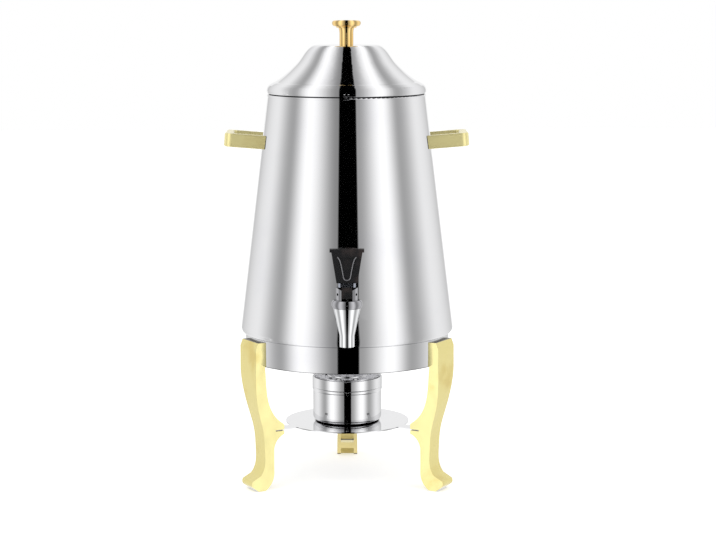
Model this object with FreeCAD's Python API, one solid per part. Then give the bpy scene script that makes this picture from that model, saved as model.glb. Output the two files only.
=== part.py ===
"""Coffee urn: a lift-off steel tank with a lever tap, standing on a three-legged stand over a burner.

Millimetres, +Z up, front towards -Y. Every piece is built about the urn's upright axis. place() then
moves it, so that the origin is on the floor at the middle of the footprint.
"""
import FreeCAD, Part
import math
import os

V = FreeCAD.Vector
X_AXIS = V(1, 0, 0)
Y_AXIS = V(0, 1, 0)
Z_AXIS = V(0, 0, 1)
ORIGIN = V(0, 0, 0)

# Tank
TANK_WALL = 1.2
TANK_HEIGHT = 287.0
TANK_FOOT_R = 129.3
TANK_MOUTH_R = 94.3
TANK_CORNER_R = 6.0
MOUTH_BEAD_R = 1.5
TANK_FLANGE_WIDTH = 14.0
FOOT_RIM_DEPTH = 11.0
FOOT_RIM_WALL = 1.5
FOOT_RIM_CLEARANCE = 0.6
FLOOR_DISH = 1.0
FLOOR_LAP = 9.8
TANK_LEAN = math.atan2(TANK_FOOT_R - TANK_MOUTH_R, TANK_HEIGHT)
TANK_WALL_RUN = TANK_WALL / math.cos(TANK_LEAN)

# Stand ring, drawn in from the tank's foot
RING_BOTTOM_Z = 151.5
RING_HEIGHT = 31.0
RING_INSET = 5.8
RING_WALL = 1.5
RING_SEAT_WIDTH = 12.0
RING_R = TANK_FOOT_R - RING_INSET
SEAT_Z = RING_BOTTOM_Z + RING_HEIGHT
MOUTH_Z = SEAT_Z + TANK_HEIGHT

# Legs, in a frame with the radius along X and the width along Y
LEG_ANGLES = {"leg_left": 210.0, "leg_right": 330.0, "leg_rear": 90.0}
LEG_PAD_THICKNESS = 11.9
LEG_PAD_HALF_WIDTH = 20.0
LEG_PAD_BACK = 3.0
LEG_TOP_CORNER = 3.0
LEG_TOP_BEVEL_HEIGHT = 7.5
LEG_TOP_DROP = 1.5
LEG_SHIN_HALF_WIDTH = 12.2
LEG_FOOT_HALF_WIDTH = 12.8
LEG_THICKNESS = 12.7
LEG_SHIN_INSET = 3.3
LEG_TOE_REACH = 14.9
LEG_SOLE_LENGTH = 9.0
LEG_WALL = 4.5
LEG_SCREW_SPREAD = 22.0
LEG_SCREW_RISE = 10.0
LEG_SCREW_GRIP = 8.0
SOLE_WEB_BOTTOM = 10.0
SOLE_WEB_TOP = 18.0

# Leg's outer line, as distances outside the shin and heights, with the knee set below the ring
KNEE_DROP = 26.0
KNEE_INSET = 1.2
THIGH_OUT = 9.0
SHELF_LINE_OUT = 2.0
SHIN_Z = 48.0
ANKLE_OUT = 1.0
ANKLE_Z = 28.0
INSTEP_OUT = 6.3
INSTEP_Z = 18.5

# Toe, as distances back from its tip and heights
TOE_TOP_BACK = 1.2
TOE_TOP_Z = 13.2
TOE_TIP_Z = 10.0
TOE_CHIN_BACK = 2.6
TOE_CHIN_Z = 5.0

# Leg's inner line, as distances outside the calf and heights
HEEL_OUT = 4.0
HEEL_Z = 8.5
HEEL_TOP_OUT = 0.6
HEEL_TOP_Z = 21.0
CALF_TOP_DROP = 17.0
LUG_HOLLOW_IN = 2.5
LUG_HOLLOW_DROP = 9.5

# Lug that holds the shelf, and the sweep above it, as distances outwards and heights above it
LUG_REACH = 29.6
LUG_BELOW_SHELF = 4.0
LUG_ABOVE_SHELF = 6.0
LUG_NOSE = (2.5, 2.2)
LUG_SWEEP = [LUG_NOSE, (11.5, 10.0), (20.0, 24.0)]
SWEEP_END_INSET = 2.6
SWEEP_END_DROP = 22.0

# Changes in the leg's half width down its length, and where its hollows end
PAD_TAPER_RISE = 10.0
KNEE_NARROWING = 2.5
CALF_WIDENING = 1.4
CALF_RISE = 28.0
SHIN_NARROWING = 0.2
FOOT_WIDTH_Z = 20.0
KNEE_HOLLOW_RISE = 24.0
SHIN_HOLLOW_GAP = 12.0

# Burner shelf
SHELF_TOP_Z = 72.0
SHELF_THICKNESS = 1.4
SHELF_R = 75.0
SHELF_EAR_WIDTH = 17.0
SHELF_EAR_END = 5.0
SHELF_SLOT_CLEARANCE = 0.2
SHELF_SLOT_END = 1.0
SHELF_SCREW_INSET = 5.5
SHELF_SCREW_GRIP = 4.0
COUNTERBORE_CLEARANCE = 0.3
COUNTERBORE_DEPTH = 20.0

# Burner
CUP_R = 41.7
CUP_HEIGHT = 53.5
CUP_WALL = 0.9
CUP_CORNER_R = 7.0
CUP_BEAD_PROUD = 0.9
CUP_BEAD_HEIGHT = 5.0
COVER_SKIRT = 13.5
COVER_WALL = 0.8
COVER_EDGE_R = 2.5
COVER_CLEARANCE = 0.1
COVER_RIM_GAP = 0.3
COVER_TOP_WIDTH = 20.7
FLAME_HOLE_R = CUP_R - COVER_TOP_WIDTH
DAMPER_LAP = 4.0
DAMPER_R = FLAME_HOLE_R + DAMPER_LAP
DAMPER_THICKNESS = 0.8
DAMPER_TAB_HEIGHT = 6.0
DAMPER_TAB_WIDTH = 10.0
DAMPER_TAB_OUT = 1.6
DAMPER_RIVET_R = 2.0
DAMPER_RIVET_HEAD_R = 3.6
DAMPER_RIVET_HEAD = 1.2
DAMPER_RIVET_FOOT = 1.0
DAMPER_EAR_R = 5.76
DAMPER_PIVOT_OUT = 12.5
DAMPER_PIVOT_R = FLAME_HOLE_R + DAMPER_PIVOT_OUT
RUNNING_CLEARANCE = 0.05

# Handles
HANDLE_BELOW_MOUTH = 55.8
HANDLE_Z = MOUTH_Z - HANDLE_BELOW_MOUTH
HANDLE_TILT = 4.5
HANDLE_REACH = 44.4
HANDLE_WIDTH = 66.0
HANDLE_BAR = 9.0
HANDLE_HEIGHT = 16.0
HANDLE_CORNER_R = 9.0
HANDLE_INNER_CORNER_R = 3.6
HANDLE_EDGE_R = 1.8
HANDLE_GASKET = 0.8
HANDLE_SCREW_R = 2.5
HANDLE_SCREW_GRIP = 12.0
HANDLE_SCREW_EASE = 0.53

# Lid
LID_CLEARANCE = 0.2
LID_HEIGHT = 58.0
LID_OVERHANG = 1.3
LID_RIM_R = TANK_MOUTH_R + LID_OVERHANG
LID_HEM_WIDTH = 2.4
LID_HEM_R = LID_RIM_R - LID_HEM_WIDTH
LID_CROWN_R = 35.0
LID_WALL = 1.0
LID_SPIGOT_DEPTH = 12.0
LID_SPIGOT_CLEARANCE = 0.8
LID_LIP_HEIGHT = 10.5
LID_LIP_MIDDLE = 0.38
LID_LIP_SHOULDER = (0.7, 0.72)
LID_LIP_CURL = (0.8, 0.12)
LID_CURL_INSIDE = (1.7, 0.16)
LID_HEM_SLANT = 0.7
LID_CROWN_SLOPE = (1, 0)
LID_LIP_SLOPE = (1, -0.62)
LID_FLANK = [(0.0, 1.0), (0.175, 0.92), (0.275, 0.79), (0.36, 0.665), (0.47, 0.545),
             (0.63, 0.395), (0.84, 0.245)]
LID_LIP_START = 0.955
LID_Z = MOUTH_Z + LID_CLEARANCE
LID_TOP_Z = LID_Z + LID_HEIGHT

# Knob
KNOB_HEIGHT = 29.0
KNOB_STEM_R = 8.3
KNOB_NECK_R = 9.4
KNOB_STEP_R = 12.6
KNOB_DISC_R = 17.2
KNOB_DISC_THICKNESS = 7.0
KNOB_FLARE_HEIGHT = 8.0
KNOB_FLARE_START = (0.3, 3.0)
KNOB_NECK_DROP = 2.0
KNOB_STEP_BEVEL = (0.8, 1.6)
KNOB_UNDERCURVE = (0.9, 1.2)
KNOB_EDGE_RISE = 3.2
KNOB_SHOULDER = (0.8, 0.9)
KNOB_RIM_WIDTH = 3.0
KNOB_DISH_START = 6.0
KNOB_DISH_EDGE = 10.0
KNOB_DISH_DEPTH = 1.4
KNOB_DISH_START_SHARE = 0.64
KNOB_SCREW_R = 2.5
KNOB_SCREW_GRIP = 12.0
KNOB_WASHER_R = 8.8

# Tap, about its own upright axis
TAP_PROJECTION = 35.7
TAP_REACH = TANK_FOOT_R + TAP_PROJECTION
NOZZLE_RISE = 9.5
NOZZLE_BOTTOM_Z = SEAT_Z + NOZZLE_RISE
NOZZLE_LENGTH = 13.0
NOZZLE_R = 8.5
NOZZLE_WALL = 3.0
OUTLET_R = NOZZLE_R - NOZZLE_WALL
TAP_TOP_R = 15.5
TAP_CONE_HEIGHT = 31.4
CHAMBER_WALL = 4.5
CHAMBER_TOP_R = TAP_TOP_R - CHAMBER_WALL
CHAMBER_STRAIGHT = 3.0
SEAT_RISE = 7.0
SEAT_LEDGE = 3.1
CHAMBER_FLOOR_R = OUTLET_R + SEAT_LEDGE
SHANK_RISE = 17.0
SHANK_R = 8.0
SHANK_WALL = 2.8
SHANK_BORE_R = SHANK_R - SHANK_WALL
SHANK_SOCKET_WALL = 2.8
SHANK_SOCKET_R = SHANK_R + SHANK_SOCKET_WALL
SHANK_SOCKET_DEPTH = 13.0
TAP_FLANGE_WIDTH = 6.0
TAP_FLANGE_R = SHANK_R + TAP_FLANGE_WIDTH
TAP_FLANGE_THICKNESS = 3.0
GASKET_LEAST = 0.8
WALL_SEAL_GAP = 0.1
SHANK_WASHER = 1.5
SHANK_NUT = 6.0
SHANK_NUT_WALL = 4.5
SHANK_NUT_FLATS = 2 * (SHANK_R + SHANK_NUT_WALL)
SHANK_TAIL = 3.0
BONNET_OVERHANG = 2.0
BONNET_RING_R = TAP_TOP_R + BONNET_OVERHANG
BONNET_RING_HEIGHT = 9.2
BONNET_RING_BULGE = 2.2
BONNET_SPIGOT = 6.0
BONNET_SPIGOT_WALL = 3.2
BONNET_FLOOR = 4.0
CHEEK_R = 12.3
CHEEK_HEIGHT = 14.3
LEVER_SLOT = 12.8
SLOT_BEHIND_HEAD = 2.0
PIT_WALL = 2.0
STEM_R = 2.0
STEM_HEAD_R = 4.4
STEM_HEAD_THICKNESS = 2.0
STEM_PLATE_R = 5.5
STEM_PLATE_THICKNESS = 1.5
SEAT_CUP_CLEARANCE = 1.6
SEAT_CUP_R = CHAMBER_FLOOR_R - SEAT_CUP_CLEARANCE
SEAT_CUP_HEIGHT = 7.0
SEAT_CUP_BEVEL = 1.0
SPRING_R = 5.2
SPRING_WIRE_R = 0.45
SPRING_TURNS = 6
PIN_R = 1.5
PIN_AHEAD = 6.0
PIN_RISE = 7.0
FORK_R = 2.0
FORK_GAP = 0.3
STEM_GAP = 0.5

# Tap lever
LEVER_SIDE_GAP = 0.4
LEVER_NECK_FRONT = 4.5
LEVER_NECK_DROP = 4.5
LEVER_NECK_RISE = 2.0
COLLAR_WIDTH = 20.0
COLLAR_DEPTH = 13.0
COLLAR_HEIGHT = 6.2
COLLAR_FRONT_WALL = 1.5
COLLAR_CORNER_R = 3.0
COLLAR_GAP = 1.5
PADDLE_HEIGHT = 38.5
PADDLE_BOTTOM_WIDTH = 23.6
PADDLE_TOP_WIDTH = 35.0
PADDLE_LIP_WIDTH = 38.9
PADDLE_LIP_HEIGHT = 3.6
PADDLE_THICKNESS = 8.0

# Recess in the paddle's front
PADDLE_RECESS = 1.2
RECESS_HALF_WIDTH = 9.9
RECESS_FROM_BOTTOM = 4.0
RECESS_BELOW_LIP = 6.0
RECESS_WAIST_IN = 2.8
RECESS_WAIST_DROP = 3.0
RECESS_TIP_HALF_WIDTH = 3.0
RECESS_TIP_ROUND = 0.8

# Fasteners shared by several joints
SCREW_R = 2.5
SCREW_HEAD_R = 4.4
SCREW_HEAD = 3.0
WASHER_WALL = 1.0
SMALL_SCREW_R = 2.0
SMALL_HEAD_R = 3.4
SMALL_HEAD = 2.2
DOME_START = 0.4
DOME_MIDDLE = (0.55, 0.86)
SLOT_WIDTH = 1.0
SLOT_DEPTH_SHARE = 0.45
SEAL_WALL = 1.5
SEAL_OVERHANG = 1.0

# Two lengths closer than this count as equal when an edge is picked
TOUCH = 0.01

# The tap reaches further to the front than the rear toe does to the back
FRONT_REACH = TAP_REACH + BONNET_RING_R
REAR_REACH = RING_R + LEG_TOE_REACH
AXIS_Y = (FRONT_REACH - REAR_REACH) / 2

TAP_AXIS = V(0, -TAP_REACH, 0)
TAP_TOP_Z = NOZZLE_BOTTOM_Z + NOZZLE_LENGTH + TAP_CONE_HEIGHT
TAP_SEAT_Z = NOZZLE_BOTTOM_Z + NOZZLE_LENGTH + SEAT_RISE
SHANK_Z = NOZZLE_BOTTOM_Z + NOZZLE_LENGTH + SHANK_RISE
BONNET_TOP_Z = TAP_TOP_Z + BONNET_RING_HEIGHT
CHEEK_TOP_Z = BONNET_TOP_Z + CHEEK_HEIGHT
PIN_Y = -TAP_REACH - PIN_AHEAD
PIN_Z = BONNET_TOP_Z + PIN_RISE


def place(shape):
    """Moves a piece from the urn's axis to the shared origin."""
    placed = shape.copy()
    placed.translate(V(0, AXIS_Y, 0))
    return placed


def export(name, solids):
    """Writes one node, which is one solid or a group of like ones."""
    placed = [place(solid) for solid in solids]
    shape = placed[0] if len(placed) == 1 else Part.makeCompound(placed)
    shape.exportStep(os.path.join("parts", name + ".step"))


def line(start, end):
    """Straight edge between two (radius, height) points."""
    return Part.makeLine(V(start[0], 0, start[1]), V(end[0], 0, end[1]))


def arc(start, middle, end):
    """Circular edge through three (radius, height) points."""
    points = [V(r, 0, z) for r, z in (start, middle, end)]
    return Part.Arc(*points).toShape()


def curve(points, start=None, end=None):
    """Smooth edge through (radius, height) points, with end directions where they are given."""
    spline = Part.BSplineCurve()
    options = {"Points": [V(r, 0, z) for r, z in points]}
    if start and end:
        options["InitialTangent"] = V(start[0], 0, start[1])
        options["FinalTangent"] = V(end[0], 0, end[1])
    spline.interpolate(**options)
    return spline.toShape()


def lines(points):
    """Chain of straight edges through (radius, height) points."""
    return [line(a, b) for a, b in zip(points, points[1:])]


def turned(edges):
    """Solid of revolution of a closed outline about the Z axis."""
    return Part.Face(Part.Wire(edges)).revolve(ORIGIN, Z_AXIS, 360)


def turned_polygon(points):
    """Solid of revolution of a straight-sided outline."""
    return turned(lines(points + points[:1]))


def disc(radius, bottom, top):
    """Upright cylinder on the Z axis between two heights."""
    return Part.makeCylinder(radius, top - bottom, V(0, 0, bottom))


def tube(outer, inner, bottom, top):
    """Upright tube on the Z axis between two heights."""
    return disc(outer, bottom, top).cut(disc(inner, bottom, top))


def box(x_range, y_range, z_range):
    """Block between two limits along each axis."""
    size = [b - a for a, b in (x_range, y_range, z_range)]
    return Part.makeBox(*size, V(x_range[0], y_range[0], z_range[0]))


def turn(shape, angle, axis=Z_AXIS, centre=ORIGIN):
    """Turned copy of a shape, in degrees."""
    turned_copy = shape.copy()
    turned_copy.rotate(centre, axis, angle)
    return turned_copy


def move(shape, offset):
    """Moved copy of a shape."""
    moved = shape.copy()
    moved.translate(offset)
    return moved


def join(shapes):
    """One solid from overlapping shapes."""
    return shapes[0].multiFuse(shapes[1:]).removeSplitter()


def screw(thread_r, thread_length, head_r, head_height):
    """Round-headed screw along +Z with its head's seat at the origin."""
    edge_z = -head_height * DOME_START
    dome_middle = (head_r * DOME_MIDDLE[0], -head_height * DOME_MIDDLE[1])
    head = turned([
        line((0, 0), (head_r, 0)),
        line((head_r, 0), (head_r, edge_z)),
        arc((head_r, edge_z), dome_middle, (0, -head_height)),
        line((0, -head_height), (0, 0)),
    ])
    half = SLOT_WIDTH / 2
    slot = box((-head_r, head_r), (-half, half), (-2 * head_height, head_height * (SLOT_DEPTH_SHARE - 1)))
    return join([head, disc(thread_r, 0, thread_length)]).cut(slot)


def washer(outer, inner, thickness):
    """Flat washer along +Z from the origin."""
    return tube(outer, inner, 0, thickness)


def aim(shape, direction, position):
    """Copy of a shape with its +Z turned to a direction and its origin moved to a position."""
    aimed = shape.copy()
    aimed.Placement = FreeCAD.Placement(position, FreeCAD.Rotation(Z_AXIS, direction))
    return aimed


# Tank

def tank_radius(z):
    """Outer radius of the tank's tapered wall at a height."""
    taper = (TANK_FOOT_R - TANK_MOUTH_R) / TANK_HEIGHT
    return TANK_FOOT_R - taper * (z - SEAT_Z)


def tank_solid(inset):
    """Tapered wall's full solid, drawn in by an inset."""
    return turned_polygon([
        (0, SEAT_Z),
        (TANK_FOOT_R - inset, SEAT_Z),
        (TANK_MOUTH_R - inset, MOUTH_Z),
        (0, MOUTH_Z),
    ])


def tank_profile(inset, corner_r):
    """Edges of the wall and rounded corner, from the mouth down to the flange."""
    floor_z = SEAT_Z + inset
    wall_shift = inset / math.cos(TANK_LEAN)
    foot_r = tank_radius(floor_z) - wall_shift
    half_turn = (math.pi / 2 - TANK_LEAN) / 2
    tangent = corner_r / math.tan(half_turn)
    centre = (foot_r - tangent, floor_z + corner_r)
    wall_end = (foot_r - tangent * math.sin(TANK_LEAN), floor_z + tangent * math.cos(TANK_LEAN))
    middle_angle = -half_turn
    middle = (centre[0] + corner_r * math.cos(middle_angle), centre[1] + corner_r * math.sin(middle_angle))
    mouth = (tank_radius(MOUTH_Z - MOUTH_BEAD_R) - wall_shift, MOUTH_Z - MOUTH_BEAD_R)
    flange_end = (TANK_FOOT_R - TANK_FLANGE_WIDTH - TANK_CORNER_R, floor_z)
    bottom = (centre[0], floor_z)
    return mouth, wall_end, middle, bottom, flange_end


def tank_shell():
    """Wall, rounded foot and inward flange in one sheet, with a rolled mouth."""
    outer = tank_profile(0, TANK_CORNER_R)
    inner = tank_profile(TANK_WALL, TANK_CORNER_R - TANK_WALL)
    sheet = turned([
        line(outer[0], outer[1]),
        arc(outer[1], outer[2], outer[3]),
        line(outer[3], outer[4]),
        line(outer[4], inner[4]),
        line(inner[4], inner[3]),
        arc(inner[3], inner[2], inner[1]),
        line(inner[1], inner[0]),
        line(inner[0], outer[0]),
    ])
    bead_z = MOUTH_Z - MOUTH_BEAD_R
    bead = Part.makeTorus(tank_radius(bead_z) - TANK_WALL / 2, MOUTH_BEAD_R, V(0, 0, bead_z))
    shell = join([sheet, bead])
    shank_hole = Part.makeCylinder(SHANK_R, TAP_REACH, V(0, 0, SHANK_Z), V(0, -1, 0))
    screw_holes = [aim(disc(HANDLE_SCREW_R, 0, 2 * HANDLE_REACH), direction, start)
                   for start, direction in handle_screw_lines()]
    return shell.cut(Part.makeCompound([shank_hole] + screw_holes))


def tank_floor():
    """Floor disc welded on the flange, dished slightly so that it drains to the tap."""
    flange_end = tank_profile(TANK_WALL, TANK_CORNER_R - TANK_WALL)[4]
    edge_r = flange_end[0] + FLOOR_LAP
    low = flange_end[1]
    return turned([
        line((0, low + FLOOR_DISH), (flange_end[0], low)),
        line((flange_end[0], low), (edge_r, low)),
        line((edge_r, low), (edge_r, low + TANK_WALL)),
        line((edge_r, low + TANK_WALL), (flange_end[0], low + TANK_WALL)),
        line((flange_end[0], low + TANK_WALL), (0, low + FLOOR_DISH + TANK_WALL)),
        line((0, low + FLOOR_DISH + TANK_WALL), (0, low + FLOOR_DISH)),
    ])


def tank_foot_rim():
    """Band under the tank that drops inside the stand ring's seat and centres the tank."""
    outer = RING_R - RING_SEAT_WIDTH - FOOT_RIM_CLEARANCE
    return tube(outer, outer - FOOT_RIM_WALL, SEAT_Z - FOOT_RIM_DEPTH, SEAT_Z)


# Stand

def stand_ring():
    """Band with an inward seat at its top, which carries the tank."""
    band = tube(RING_R, RING_R - RING_WALL, RING_BOTTOM_Z, SEAT_Z)
    seat = tube(RING_R, RING_R - RING_SEAT_WIDTH, SEAT_Z - RING_WALL, SEAT_Z)
    holes = []
    for angle in LEG_ANGLES.values():
        for start, direction in leg_screw_lines():
            hole = aim(disc(SCREW_R, 0, 2 * RING_WALL + WASHER_WALL), direction, start)
            holes.append(turn(hole, angle))
    return join([band, seat]).cut(Part.makeCompound(holes))


def leg_side_outline(inset):
    """Side view of a leg, as radius and height, drawn inwards by an inset."""
    shelf_low = SHELF_TOP_Z - SHELF_THICKNESS
    pad_r = RING_R + LEG_PAD_THICKNESS
    shin_r = RING_R - LEG_SHIN_INSET
    calf_r = shin_r - LEG_THICKNESS
    lug_r = RING_R - LUG_REACH
    toe_r = RING_R + LEG_TOE_REACH
    sole_out = shin_r + LEG_SOLE_LENGTH
    knee_z = RING_BOTTOM_Z - KNEE_DROP
    instep = (shin_r + INSTEP_OUT, INSTEP_Z)
    outer = curve([
        (pad_r, RING_BOTTOM_Z),
        (pad_r - KNEE_INSET, knee_z),
        (shin_r + THIGH_OUT, (knee_z + SHELF_TOP_Z) / 2),
        (shin_r + SHELF_LINE_OUT, SHELF_TOP_Z),
        (shin_r, SHIN_Z),
        (shin_r + ANKLE_OUT, ANKLE_Z),
        instep,
    ])
    lug_top = shelf_low + LUG_ABOVE_SHELF + SHELF_THICKNESS
    lug_bottom = shelf_low - LUG_BELOW_SHELF
    sweep = [(lug_r + out, lug_top + rise) for out, rise in LUG_SWEEP]
    sweep_end = (RING_R - SWEEP_END_INSET, RING_BOTTOM_Z - SWEEP_END_DROP)
    inner = curve(sweep + [sweep_end, (RING_R, RING_BOTTOM_Z)])
    top_z = SEAT_Z - LEG_TOP_DROP
    corner_z = top_z - LEG_TOP_BEVEL_HEIGHT
    behind = RING_R - LEG_PAD_BACK
    toe_top = (toe_r - TOE_TOP_BACK, TOE_TOP_Z)
    toe_chin = (toe_r - TOE_CHIN_BACK, TOE_CHIN_Z)
    heel_top = (calf_r + HEEL_TOP_OUT, HEEL_TOP_Z)
    calf_top = (calf_r, lug_bottom - CALF_TOP_DROP)
    lug_hollow = (calf_r - LUG_HOLLOW_IN, lug_bottom - LUG_HOLLOW_DROP)
    edges = [
        line((behind, top_z), (pad_r - LEG_TOP_CORNER, top_z)),
        line((pad_r - LEG_TOP_CORNER, top_z), (pad_r, corner_z)),
        line((pad_r, corner_z), (pad_r, RING_BOTTOM_Z)),
        outer,
        line(instep, toe_top),
        arc(toe_top, (toe_r, TOE_TIP_Z), toe_chin),
        line(toe_chin, (sole_out, 0)),
        line((sole_out, 0), (shin_r, 0)),
        arc((shin_r, 0), (calf_r + HEEL_OUT, HEEL_Z), heel_top),
        line(heel_top, calf_top),
        arc(calf_top, lug_hollow, (lug_r, lug_bottom)),
        line((lug_r, lug_bottom), (lug_r, lug_top)),
        line((lug_r, lug_top), sweep[0]),
        inner,
        line((RING_R, RING_BOTTOM_Z), (behind, RING_BOTTOM_Z)),
        line((behind, RING_BOTTOM_Z), (behind, top_z)),
    ]
    outline = Part.Face(Part.Wire(edges))
    outline.translate(V(-inset, 0, 0))
    return outline


def leg_blank(inset):
    """Solid leg, or the smaller copy of it that hollows the back."""
    side = leg_side_outline(inset)
    half_depth = 2 * LEG_PAD_HALF_WIDTH
    side.translate(V(0, -half_depth, 0))
    slab = side.extrude(V(0, 2 * half_depth, 0))
    pad = LEG_PAD_HALF_WIDTH - inset
    shin = LEG_SHIN_HALF_WIDTH - inset
    foot = LEG_FOOT_HALF_WIDTH - inset
    heights = [RING_BOTTOM_Z + PAD_TAPER_RISE, RING_BOTTOM_Z - KNEE_DROP, SHELF_TOP_Z + CALF_RISE,
               SHELF_TOP_Z, SHIN_Z, FOOT_WIDTH_Z]
    halves = [pad, pad - KNEE_NARROWING, shin + CALF_WIDENING, shin, shin - SHIN_NARROWING, foot]
    right = curve(list(zip(halves, heights)))
    left = curve([(-half, z) for half, z in zip(halves, heights)][::-1])
    front = Part.Face(Part.Wire([
        line((pad, SEAT_Z), (pad, heights[0])),
        right,
        line((foot, heights[-1]), (foot, 0)),
        line((foot, 0), (-foot, 0)),
        line((-foot, 0), (-foot, heights[-1])),
        left,
        line((-pad, heights[0]), (-pad, SEAT_Z)),
        line((-pad, SEAT_Z), (pad, SEAT_Z)),
    ]))
    front = turn(front, 90)
    return slab.common(front.extrude(V(RING_R + 2 * LEG_TOE_REACH, 0, 0)))


def leg():
    """Cast leg with a pad for the ring, a slotted lug for the shelf and a hollow back."""
    blank = leg_blank(0)
    core = leg_blank(LEG_WALL)
    far = RING_R + 2 * LEG_TOE_REACH
    wide = (-2 * LEG_PAD_HALF_WIDTH, 2 * LEG_PAD_HALF_WIDTH)
    lug_bottom = SHELF_TOP_Z - SHELF_THICKNESS - LUG_BELOW_SHELF
    shin_hollow = core.common(box((0, far), wide, (SOLE_WEB_TOP, lug_bottom - SHIN_HOLLOW_GAP)))
    knee_hollow = core.common(box((0, far), wide, (SHELF_TOP_Z + KNEE_HOLLOW_RISE, RING_BOTTOM_Z - LEG_WALL)))
    sole_hollow = core.common(box((0, far), wide, (0, SOLE_WEB_BOTTOM)))
    slot_low = SHELF_TOP_Z - SHELF_THICKNESS
    slot_end = shelf_screw_seat().x + SHELF_EAR_END + SHELF_SLOT_END
    slot = box((0, slot_end), wide, (slot_low, SHELF_TOP_Z + SHELF_SLOT_CLEARANCE))
    ring = disc(RING_R, RING_BOTTOM_Z, SEAT_Z)
    holes = [aim(disc(SCREW_R, 0, RING_WALL + LEG_SCREW_GRIP + WASHER_WALL), direction, start)
             for start, direction in leg_screw_lines()]
    shelf_hole = move(disc(SMALL_SCREW_R, 0, SHELF_THICKNESS + LUG_BELOW_SHELF + SHELF_SCREW_GRIP),
                      shelf_screw_seat())
    counterbore = move(disc(SMALL_HEAD_R + COUNTERBORE_CLEARANCE, -COUNTERBORE_DEPTH, 0), shelf_screw_seat())
    tools = [shin_hollow, knee_hollow, sole_hollow, slot, ring, shelf_hole, counterbore] + holes
    return blank.cut(tools)


def leg_screw_lines():
    """Head seats and directions of one leg's screws, in the leg's own frame."""
    z = RING_BOTTOM_Z + LEG_SCREW_RISE
    seat_r = RING_R - RING_WALL - WASHER_WALL
    return [(V(seat_r, side * LEG_SCREW_SPREAD / 2, z), X_AXIS) for side in (-1, 1)]


def leg_screw():
    return screw(SCREW_R, RING_WALL + WASHER_WALL + LEG_SCREW_GRIP, SCREW_HEAD_R, SCREW_HEAD)


def leg_screw_set():
    """The screws that hold the three legs to the ring."""
    screws = []
    for angle in LEG_ANGLES.values():
        for start, direction in leg_screw_lines():
            screws.append(turn(aim(leg_screw(), direction, start), angle))
    return screws


def leg_washer_set():
    """Lock washers under the leg screws' heads."""
    washers = []
    for angle in LEG_ANGLES.values():
        for start, direction in leg_screw_lines():
            flat = washer(SCREW_HEAD_R, SCREW_R, WASHER_WALL)
            washers.append(turn(aim(flat, direction, start), angle))
    inner = disc(RING_R - RING_WALL, RING_BOTTOM_Z, SEAT_Z)
    return [flat.common(inner) for flat in washers]


def shelf_screw_seat():
    """Head seat of a shelf screw, under the lug, in the leg's own frame."""
    radius = RING_R - LUG_REACH + SHELF_SCREW_INSET
    return V(radius, 0, SHELF_TOP_Z - SHELF_THICKNESS - LUG_BELOW_SHELF)


def burner_shelf():
    """Round plate with an ear in each leg's slot."""
    low = SHELF_TOP_Z - SHELF_THICKNESS
    plate = [disc(SHELF_R, low, SHELF_TOP_Z)]
    holes = []
    ear_end = shelf_screw_seat().x + SHELF_EAR_END
    for angle in LEG_ANGLES.values():
        half = SHELF_EAR_WIDTH / 2
        ear = box((0, ear_end), (-half, half), (low, SHELF_TOP_Z))
        plate.append(turn(ear, angle))
        holes.append(turn(move(disc(SMALL_SCREW_R, 0, SHELF_TOP_Z), shelf_screw_seat()), angle))
    return join(plate).cut(Part.makeCompound(holes))


def shelf_screw_set():
    """The screws that hold the shelf's ears in the lugs."""
    length = LUG_BELOW_SHELF + SHELF_THICKNESS + SHELF_SCREW_GRIP
    part = move(screw(SMALL_SCREW_R, length, SMALL_HEAD_R, SMALL_HEAD), shelf_screw_seat())
    return [turn(part, angle) for angle in LEG_ANGLES.values()]


# Handles

def handle_screw_lines():
    """Start points inside the tank and outward directions of the four handle screws."""
    tilt = math.radians(HANDLE_TILT)
    arm = (HANDLE_WIDTH - HANDLE_BAR) / 2
    screws = []
    for side in (-1, 1):
        direction = V(side * math.cos(tilt), 0, math.sin(tilt))
        wall = math.sqrt((tank_radius(HANDLE_Z) - TANK_WALL) ** 2 - arm ** 2)
        for across in (-arm, arm):
            seat = V(side * wall, across, HANDLE_Z) - direction * (2 * SEAL_WALL + HANDLE_SCREW_EASE)
            screws.append((seat, direction))
    return screws


def handle():
    """Square-cornered loop for the right-hand side, before it is seated on the wall."""
    inside = tank_radius(HANDLE_Z) - 2 * HANDLE_BAR
    outside = tank_radius(HANDLE_Z) + HANDLE_REACH
    half = HANDLE_WIDTH / 2
    inner_half = half - HANDLE_BAR
    low = HANDLE_Z - HANDLE_HEIGHT / 2
    high = HANDLE_Z + HANDLE_HEIGHT / 2
    loop = box((inside, outside), (-half, half), (low, high))
    uprights = [edge for edge in loop.Edges if is_upright(edge, outside)]
    loop = loop.makeFillet(HANDLE_CORNER_R, uprights)
    gap = box((inside, outside - HANDLE_BAR), (-inner_half, inner_half), (low, high))
    corners = [edge for edge in gap.Edges if is_upright(edge, outside - HANDLE_BAR)]
    gap = gap.makeFillet(HANDLE_INNER_CORNER_R, corners)
    loop = loop.cut(gap)
    rims = [edge for edge in loop.Edges if lies_level(edge, (low, high)) and edge.BoundBox.XMax > inside + 1]
    return loop.makeFillet(HANDLE_EDGE_R, rims)


def is_upright(edge, x):
    """True for a straight vertical edge at one X."""
    bounds = edge.BoundBox
    return bounds.ZLength > 1 and abs(bounds.XMin - x) < TOUCH and abs(bounds.XMax - x) < TOUCH


def lies_level(edge, heights):
    """True for an edge that lies flat at one of the heights."""
    bounds = edge.BoundBox
    return bounds.ZLength < TOUCH and min(abs(bounds.ZMin - z) for z in heights) < TOUCH


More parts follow.
